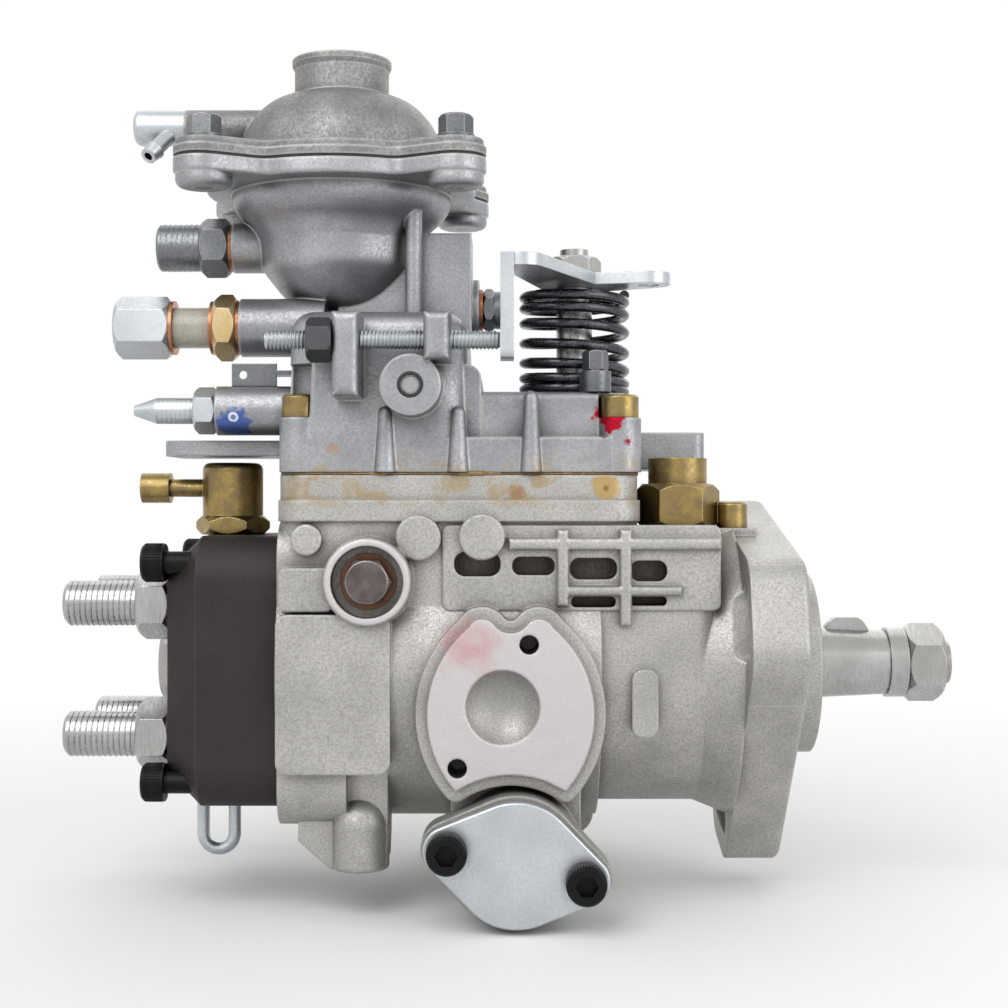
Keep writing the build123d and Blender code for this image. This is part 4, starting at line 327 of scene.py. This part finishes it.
plainLooks = {
    "mouldedNitrileRubber": {    # black, soft sheen
        "tone": "#1a1a1a", "toneTwo": "#222120", "patchMm": 6, "grainMm": 0.5, "rough": (0.5, 0.65),
        "ior": 1.52, "bump": 0.2},
    "pressedFibreSheet": {    # brown-grey joint sheet, dry
        "tone": "#5d564c", "toneTwo": "#4b453d", "patchMm": 3, "grainMm": 0.4, "rough": (0.75, 0.9),
        "ior": 1.5, "bump": 0.5},
    "turnedNylon": {    # milky, lets some light through
        "tone": "#cfcabd", "toneTwo": "#bdb7a8", "patchMm": 5, "grainMm": 0.5, "rough": (0.2, 0.32),
        "ior": 1.53, "bump": 0.12, "clear": 0.35},
    "curedSealant": {    # glossy amber, a little clear
        "tone": "#846337", "toneTwo": "#a88a57", "patchMm": 3, "grainMm": 1.5, "rough": (0.18, 0.3),
        "ior": 1.5, "bump": 0.3, "clear": 0.25},
}
materials.update({name: plainFinish(name, look) for name, look in plainLooks.items()})

# the finish of each material slot
slotFinish = {
    "cast_housing": "sandCastAluminium", "cast_cover": "pressureCastAluminium",
    "cast_boost": "boostCastAluminium", "head_steel": "phosphatedSteel", "bright_steel": "groundSteel",
    "dark_steel": "springSteel", "zinc_plate": "brightZinc", "yellow_zinc": "yellowZinc",
    "black_oxide": "blackOxideSteel", "brass": "turnedBrass", "bronze": "sinteredBronze",
    "copper": "annealedCopper", "nylon": "turnedNylon", "rubber": "mouldedNitrileRubber",
    "gasket": "pressedFibreSheet"}
# nodes that look different from the rest of their slot
ownFinish = {
    "vent_union": "dullZinc", "spring_anchor_bolt": "dullZinc", "boost_cover_screws": "dullZinc",
    "seal_bracket": "dullZinc", "side_plug": "dullZinc", "lock_nuts": "nutZinc",
    "pivot_bolts": "blackenedBolt"}
nodeSlot = {row["node"]: row["material_slot"] for row in frame["record"]["subparts"]}
for name, obj in nodes.items():
    obj.data.materials.clear()
    obj.data.materials.append(materials[ownFinish.get(name, slotFinish[nodeSlot[name]])])
print("materials made:", len(materials))


# a Geometry Nodes tree with named inputs; gives the tree and its inputs
def newTree(name, sizes):
    tree = bpy.data.node_groups.new(name, "GeometryNodeTree")
    tree.interface.new_socket("Geometry", in_out="INPUT", socket_type="NodeSocketGeometry")
    for label, value in sizes.items():
        kind = "NodeSocketInt" if isinstance(value, int) else "NodeSocketFloat"
        tree.interface.new_socket(label, in_out="INPUT", socket_type=kind).default_value = value
    tree.interface.new_socket("Material", in_out="INPUT", socket_type="NodeSocketMaterial")
    tree.interface.new_socket("Geometry", in_out="OUTPUT", socket_type="NodeSocketGeometry")
    return tree, addNode(tree, "NodeGroupInput").outputs


# the item at each point, turned by the point's own angles, made real and given its material
def endTree(tree, given, item):
    turn = addNode(tree, "GeometryNodeInputNamedAttribute", {"Name": "turn"}, 0, data_type="FLOAT_VECTOR")
    angles = addNode(tree, "FunctionNodeEulerToRotation", {0: turn}, 0)
    copies = addNode(tree, "GeometryNodeInstanceOnPoints",
                     {"Points": given["Geometry"], "Instance": item, "Rotation": angles}, 0)
    real = addNode(tree, "GeometryNodeRealizeInstances", {"Geometry": copies}, 0)
    painted = addNode(tree, "GeometryNodeSetMaterial", {"Geometry": real, "Material": given["Material"]}, 0)
    addNode(tree, "NodeGroupOutput", {0: painted})
    return tree


# a closed section with so many sides, swept along a curve
def sweep(tree, curve, sides, radius, inputs):
    section = addNode(tree, "GeometryNodeCurvePrimitiveCircle", {"Resolution": sides, "Radius": radius}, 0)
    return addNode(tree, "GeometryNodeCurveToMesh", {"Curve": curve, "Profile Curve": section, **inputs}, 0)


# a thread's diamond ridge: it winds up a helix round the point's own Z
def ridge(tree, given, steps, start, height):
    helix = addNode(tree, "GeometryNodeCurveSpiral", {
        "Resolution": steps, "Rotations": given["Turns"], "Start Radius": given["Root Radius"],
        "End Radius": given["Root Radius"], "Height": height, "Reverse": False}, 0)
    offset = addNode(tree, "ShaderNodeCombineXYZ", {2: start}, 0)
    raised = addNode(tree, "GeometryNodeSetPosition", {"Geometry": helix, "Offset": offset}, 0)
    upright = addNode(tree, "GeometryNodeSetCurveNormal", {"Curve": raised}, 0, mode="Z_UP")
    return sweep(tree, upright, sides=4, radius=given["Depth"], inputs={"Fill Caps": True})


threadSizes = {"Root Radius": 0.003, "Depth": 0.0005, "Turns": 10.0, "Length": 0.01}


# a thread alone, to lie on a CAD node
def threadTree():
    tree, given = newTree("threadMaker", threadSizes)
    return endTree(tree, given, ridge(tree, given, steps=20, start=0.0, height=given["Length"]))


# a threaded rod: its core with the ridge wound on it
def rodTree():
    tree, given = newTree("rodMaker", threadSizes)
    core = addNode(tree, "GeometryNodeMeshCylinder",
                   {"Vertices": 32, "Radius": given["Root Radius"], "Depth": given["Length"]}, "Mesh")
    half = addNode(tree, "ShaderNodeMath", (given["Length"], 0.5), 0, operation="MULTIPLY")
    lift = addNode(tree, "ShaderNodeCombineXYZ", {2: half}, 0)
    risen = addNode(tree, "GeometryNodeSetPosition", {"Geometry": core, "Offset": lift}, 0)
    run = given["Length"]
    for end in ("low", "high"):    # the ridge stays clear of each end by its own depth
        run = addNode(tree, "ShaderNodeMath", (run, given["Depth"]), 0, operation="SUBTRACT")
    wound = ridge(tree, given, steps=24, start=given["Depth"], height=run)
    joined = addNode(tree, "GeometryNodeJoinGeometry", {0: risen})
    tree.links.new(wound, joined.inputs[0])
    return endTree(tree, given, joined.outputs[0])


# a knurl is a ring of fine bars round a screw head
def knurlTree():
    tree, given = newTree("knurlMaker", {"Head Radius": 0.005, "Bar Radius": 0.0002, "Bars": 36,
                                         "Length": 0.005})
    ring = addNode(tree, "GeometryNodeMeshCircle",
                   {"Vertices": given["Bars"], "Radius": given["Head Radius"]}, 0)
    bar = addNode(tree, "GeometryNodeMeshCylinder",
                  {"Vertices": 6, "Radius": given["Bar Radius"], "Depth": given["Length"]}, "Mesh")
    bars = addNode(tree, "GeometryNodeInstanceOnPoints", {"Points": ring, "Instance": bar}, 0)
    return endTree(tree, given, bars)


# sealant squeezed out of a joint is a bead round a rectangle, whose thickness comes and goes
def beadTree():
    tree, given = newTree("beadMaker", {"Width": 0.1, "Depth": 0.08, "Corner": 0.008, "Thin": 0.0001,
                                        "Thick": 0.001, "Seed": 7})
    quad = addNode(tree, "GeometryNodeCurvePrimitiveQuadrilateral",
                   {"Width": given["Width"], "Height": given["Depth"]}, 0)
    rounded = addNode(tree, "GeometryNodeFilletCurve",
                      {"Curve": quad, "Count": 8, "Radius": given["Corner"]}, 0, mode="POLY")
    even = addNode(tree, "GeometryNodeResampleCurve", {"Curve": rounded, "Count": 420}, 0)
    place = addNode(tree, "GeometryNodeInputPosition", out=0)
    blots = {"Vector": place, "W": given["Seed"], "Scale": 90.0, "Detail": 3.0}    # about 11 mm each
    cloud = addNode(tree, "ShaderNodeTexNoise", blots, "Fac", noise_dimensions="4D")
    size = addNode(tree, "ShaderNodeMapRange", (cloud, *bands["bead"], given["Thin"], given["Thick"]), 0)
    return endTree(tree, given, sweep(tree, even, sides=8, radius=1.0, inputs={"Scale": size}))


# a coil spring rises slowly at both ends, so its end turns lie closed
def springTree():
    tree, given = newTree("springMaker", {"Mean Radius": 0.01, "Wire Radius": 0.001, "Turns": 8.0,
                                          "Length": 0.02})
    rings = addNode(tree, "GeometryNodeCurveSpiral", {
        "Resolution": 40, "Rotations": given["Turns"], "Start Radius": given["Mean Radius"],
        "End Radius": given["Mean Radius"], "Height": 0.0, "Reverse": False}, 0)
    along = addNode(tree, "GeometryNodeSplineParameter", out="Factor")
    shape = addNode(tree, "ShaderNodeFloatCurve", {"Value": along})
    for part, height in ((0.12, 0.06), (0.88, 0.94)):    # part of the wire, and of the spring's height
        shape.mapping.curves[0].points.new(part, height)
    shape.mapping.update()
    rise = addNode(tree, "ShaderNodeMath", (shape.outputs[0], given["Length"]), 0, operation="MULTIPLY")
    offset = addNode(tree, "ShaderNodeCombineXYZ", {2: rise}, 0)
    coil = addNode(tree, "GeometryNodeSetPosition", {"Geometry": rings, "Offset": offset}, 0)
    wire = sweep(tree, coil, sides=12, radius=given["Wire Radius"], inputs={"Fill Caps": True})
    return endTree(tree, given, wire)


makers = {"thread": threadTree(), "rod": rodTree(), "knurl": knurlTree(), "bead": beadTree(),
          "spring": springTree()}


# runs a maker on points, each a place in metres and its angles, and keeps the plain mesh
def makePiece(name, maker, points, sizes, smooth=True):
    mesh = bpy.data.meshes.new(name)
    mesh.from_pydata([place for place, angles in points], [], [])
    turn = mesh.attributes.new("turn", "FLOAT_VECTOR", "POINT")
    for row, (place, angles) in zip(turn.data, points):
        row.vector = angles
    obj = bpy.data.objects.new(name, mesh)
    bpy.context.scene.collection.objects.link(obj)
    mod = obj.modifiers.new("maker", "NODES")
    mod.node_group = makers[maker]
    for item in mod.node_group.interface.items_tree:
        if item.in_out == "INPUT" and item.name in sizes:
            mod[item.identifier] = sizes[item.name]
    obj.update_tag()
    bpy.context.view_layer.update()
    mesh = bpy.data.meshes.new_from_object(obj.evaluated_get(bpy.context.evaluated_depsgraph_get()))
    obj.modifiers.remove(mod)
    obj.data = mesh
    for poly in mesh.polygons:
        poly.use_smooth = smooth
    return obj


# a spring fills the place of its CAD solid, from the low end of its own axis
def makeSpring(name, node, look):
    low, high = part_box(node)
    axis = look["axis"]
    place = (low + high) / 2
    place[axis] = low[axis] + look["wireR"] * mm
    length = high[axis] - low[axis]
    obj = makePiece(name, "spring", [(place, look["turn"])], {
        "Mean Radius": look["meanR"] * mm, "Wire Radius": look["wireR"] * mm, "Turns": look["turns"],
        "Length": length - 2 * look["wireR"] * mm, "Material": materials["springSteel"]})
    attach(obj, "casing")
    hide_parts(node)
    if look.get("squashedBy"):    # a spring that a piece squashes gets a mesh of its own; the place of its fixed end is worked out, but nothing makes the other end follow the piece that moves
        middle = (low + high) / 2
        middle[axis] = high[axis] if look["fixedHigh"] else low[axis]
        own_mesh(obj)
    return obj


# radii and travel in mm; axis 0, 1 or 2 is X, Y or Z
travelMm = {joint["name"]: joint["range_m"][1] / mm for joint in frame["joints"] if "range_m" in joint}
returnSpring = {"meanR": 14.0, "wireR": 1.4, "turns": 7.0, "axis": 2, "turn": (0, 0, 0)}
makeSpring("returnSpringWire", "return_spring", returnSpring)
timingSpring = {"meanR": 8.0, "wireR": 1.2, "turns": 6.0, "axis": 1, "turn": (-quarter, 0, 0),
                "squashedBy": "timing_slide", "fixedHigh": True, "travel": travelMm["timing_slide"]}
makeSpring("timingSpringWire", "timing_spring", timingSpring)
boostSpring = {"meanR": 13.0, "wireR": 1.1, "turns": 3.0, "axis": 2, "turn": (0, 0, 0),
               "squashedBy": "boost_slide", "fixedHigh": False, "travel": travelMm["boost_slide"]}
makeSpring("boostSpringWire", "boost_spring", boostSpring)

# the speed stop screw is a threaded rod all along
stopRod = {"crestR": 2.5, "depth": 0.5, "pitch": 1.0}
low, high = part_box("speed_stop_screw")
middle = (low + high) / 2
rodStart = Vector((low.x, middle.y, middle.z))
rod = makePiece("stopScrewRod", "rod", [(rodStart, (0, quarter, 0))], {
    "Root Radius": (stopRod["crestR"] - stopRod["depth"]) * mm, "Depth": stopRod["depth"] * mm,
    "Turns": (high.x - low.x) / mm / stopRod["pitch"], "Length": high.x - low.x,
    "Material": materials["brightZinc"]}, smooth=False)
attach(rod, "casing")
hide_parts("speed_stop_screw")


# threads along +X from a start in metres, round axes given by y and z in mm
def makeThread(name, body, slotName, look):
    points = [(Vector((look["startX"], y * mm, z * mm)), (0, quarter, 0)) for y, z in look["axes"]]
    obj = makePiece(name, "thread", points, {
        "Root Radius": (look["crestR"] - look["depth"]) * mm, "Depth": look["depth"] * mm,
        "Turns": look["length"] / look["pitch"], "Length": look["length"] * mm,
        "Material": materials[look.get("finish", slotFinish[slotName])]}, smooth=False)
    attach(obj, body)
    return obj


fullLoadThread = {"crestR": 3.6, "depth": 0.4, "pitch": 1.25, "length": 9.5,
                  "startX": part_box("full_load_screw")[0].x + 6.3 * mm, "axes": [(-22.0, 69.5)]}
makeThread("fullLoadThread", "casing", "zinc_plate", fullLoadThread)
outletOffset = 25 / math.sqrt(2)    # the four outlets stand on a circle of 25 mm radius
outletThread = {"crestR": 6.25, "depth": 0.5, "pitch": 1.5, "length": 17.5,
                "startX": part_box("delivery_valve_holders")[0].x + 1.5 * mm,
                "axes": [(y * outletOffset, z * outletOffset) for y in (-1, 1) for z in (-1, 1)]}
makeThread("outletThreads", "casing", "bright_steel", outletThread)
ventThread = {"crestR": 6.7, "depth": 0.5, "pitch": 1.5, "length": 10.0, "finish": "dullZinc",
              "startX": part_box("vent_union")[0].x + 1.0 * mm, "axes": [(0.0, 116.5)]}
makeThread("ventThread", "casing", "zinc_plate", ventThread)
shaftThread = {"crestR": 6.2, "depth": 0.4, "pitch": 1.5, "length": 1.2,
               "startX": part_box("drive_shaft")[1].x - 1.8 * mm, "axes": [(0.0, 0.0)]}
makeThread("shaftThread", "rotor", "bright_steel", shaftThread)
print("threads and springs made")

# knurled heads of the socket screws: four round the head, two on each timing cover
knurl = {"headR": 4.95, "barR": 0.2, "bars": 40, "length": 4.6, "middle": 3.2, "headSquare": 29.0,
         "coverX": -74.0, "coverZ": -46.0, "coverHalfSpan": 17.75, "coverTilt": 12.2}
low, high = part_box("socket_screws")
headPoints = []
for y in (-knurl["headSquare"], knurl["headSquare"]):
    for z in (-knurl["headSquare"], knurl["headSquare"]):
        headPoints.append((Vector((low.x + knurl["middle"] * mm, y * mm, z * mm)), (0, quarter, 0)))
tilt = math.radians(knurl["coverTilt"])
for side in (-1, 1):
    x = knurl["coverX"] + side * knurl["coverHalfSpan"] * math.cos(tilt)
    z = knurl["coverZ"] - side * knurl["coverHalfSpan"] * math.sin(tilt)
    for y in (low.y + knurl["middle"] * mm, high.y - knurl["middle"] * mm):
        headPoints.append((Vector((x * mm, y, z * mm)), (quarter, 0, 0)))
bars = makePiece("socketKnurl", "knurl", headPoints, {
    "Head Radius": knurl["headR"] * mm, "Bar Radius": knurl["barR"] * mm, "Bars": knurl["bars"],
    "Length": knurl["length"] * mm, "Material": materials["blackOxideSteel"]})
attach(bars, "casing")

# sealant round the cover's joint, a little proud of the gasket
bead = {"seed": 7, "thinMm": 0.15, "thickMm": 1.0, "cornerMm": 8.0, "proudMm": 0.1}
low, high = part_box("cover_gasket")
ring = makePiece("sealantBead", "bead", [((low + high) / 2, (0, 0, 0))], {
    "Width": high.x - low.x + 2 * bead["proudMm"] * mm, "Depth": high.y - low.y + 2 * bead["proudMm"] * mm,
    "Corner": bead["cornerMm"] * mm, "Thin": bead["thinMm"] * mm, "Thick": bead["thickMm"] * mm,
    "Seed": bead["seed"], "Material": materials["curedSealant"]})
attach(ring, "casing")

# O-ring round the end of the reverse-lever pin: one turn of a spring with no height
pinSeal = {"meanR": 2.85, "wireR": 0.55, "place": (-100.8, -48.8, 74.7)}
seal = makePiece("pinSeal", "spring", [(Vector(pinSeal["place"]) * mm, (quarter, 0, 0))], {
    "Mean Radius": pinSeal["meanR"] * mm, "Wire Radius": pinSeal["wireR"] * mm, "Turns": 1.0, "Length": 0.0,
    "Material": materials["mouldedNitrileRubber"]})
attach(seal, "casing")
print("knurls and seals made")


# rays that meet the backdrop itself, straight from the camera or by way of metal or glass
def seenRays(tree):
    path = addNode(tree, "ShaderNodeLightPath").outputs
    direct = (path["Is Camera Ray"], path["Is Transmission Ray"])
    straight = addNode(tree, "ShaderNodeMath", direct, 0, operation="MAXIMUM")
    return addNode(tree, "ShaderNodeMath", (straight, path["Is Glossy Ray"]), 0, operation="MAXIMUM")


# pale matt floor that fades into the white backdrop away from the object; sizes in metres
stage = {"half": 4.0, "tone": "#f3f3f3", "rough": 0.9, "near": 0.2, "far": 0.5, "below": 0.0005,
         "middleX": -0.077}
lowest = cadBounds[0].z - stage["below"]
mesh = bpy.data.meshes.new("floor")
corners = [(x * stage["half"], y * stage["half"], lowest) for x, y in ((-1, -1), (1, -1), (1, 1), (-1, 1))]
mesh.from_pydata(corners, [], [(0, 1, 2, 3)])
floor = bpy.data.objects.new("floor", mesh)
bpy.context.scene.collection.objects.link(floor)
mat, tree, shader = newMaterial("paleMattFloor")
shader.inputs["Base Color"].default_value = toLinear(stage["tone"])
shader.inputs["Roughness"].default_value = stage["rough"]
point = addNode(tree, "ShaderNodeTexCoord", out="Object")
away = addNode(tree, "ShaderNodeVectorMath", (point, (stage["middleX"], 0.0, lowest)), "Value",
               operation="DISTANCE")
fade = addNode(tree, "ShaderNodeMapRange", (away, stage["near"], stage["far"]), 0)
amount = addNode(tree, "ShaderNodeMath", (seenRays(tree), fade), 0, operation="MULTIPLY")
white = addNode(tree, "ShaderNodeEmission", {"Color": (1, 1, 1, 1), "Strength": 1.0}, 0)
both = addNode(tree, "ShaderNodeMixShader", (amount, shader.outputs[0], white), 0)
tree.links.new(both, tree.nodes["Material Output"].inputs[0])
mesh.materials.append(mat)

# the world looks white but lights the object less
studio = {"tone": (1, 1, 1, 1), "light": 0.58, "seen": 1.0}
world = bpy.data.worlds.new("studio")
bpy.context.scene.world = world
world.use_nodes = True
tree = world.node_tree
tree.nodes.clear()
dim = addNode(tree, "ShaderNodeBackground", {"Color": studio["tone"], "Strength": studio["light"]}, 0)
white = addNode(tree, "ShaderNodeBackground", {"Color": studio["tone"], "Strength": studio["seen"]}, 0)
both = addNode(tree, "ShaderNodeMixShader", (seenRays(tree), dim, white), 0)
addNode(tree, "ShaderNodeOutputWorld", {0: both})

# soft square lamps: place and size in metres
lamps = {
    "keyLamp": {"place": (-0.50, -0.80, 0.80), "size": 0.9, "watts": 7.2},
    "fillLamp": {"place": (0.75, -0.65, 0.35), "size": 0.8, "watts": 3.6},
    "backLamp": {"place": (0.1, 0.8, 0.75), "size": 1.3, "watts": 3.6},
}
aim = Vector((stage["middleX"], 0, 0.04))    # about the middle of the pump
for name, look in lamps.items():
    lamp = bpy.data.lights.new(name, "AREA")
    lamp.energy = look["watts"]
    lamp.size = look["size"]
    obj = bpy.data.objects.new(name, lamp)
    obj.location = look["place"]
    obj.rotation_euler = (aim - Vector(look["place"])).to_track_quat("-Z", "Y").to_euler()
    bpy.context.scene.collection.objects.link(obj)

# level camera in front of the pump, looking along +Y; place in mm
viewpoint = {"place": (-77.1, -470.0, 44.5), "focalPx": 1668.5, "imagePx": 1008, "sensorMm": 36.0}
camera = bpy.data.cameras.new("camera")
camera.sensor_width = viewpoint["sensorMm"]
camera.lens = viewpoint["focalPx"] / viewpoint["imagePx"] * viewpoint["sensorMm"]
cameraObj = bpy.data.objects.new("camera", camera)
cameraObj.location = Vector(viewpoint["place"]) * mm
cameraObj.rotation_euler = (quarter, 0, 0)
bpy.context.scene.collection.objects.link(cameraObj)
bpy.context.scene.camera = cameraObj
bpy.context.scene.view_settings.view_transform = "Standard"
print("stage made")
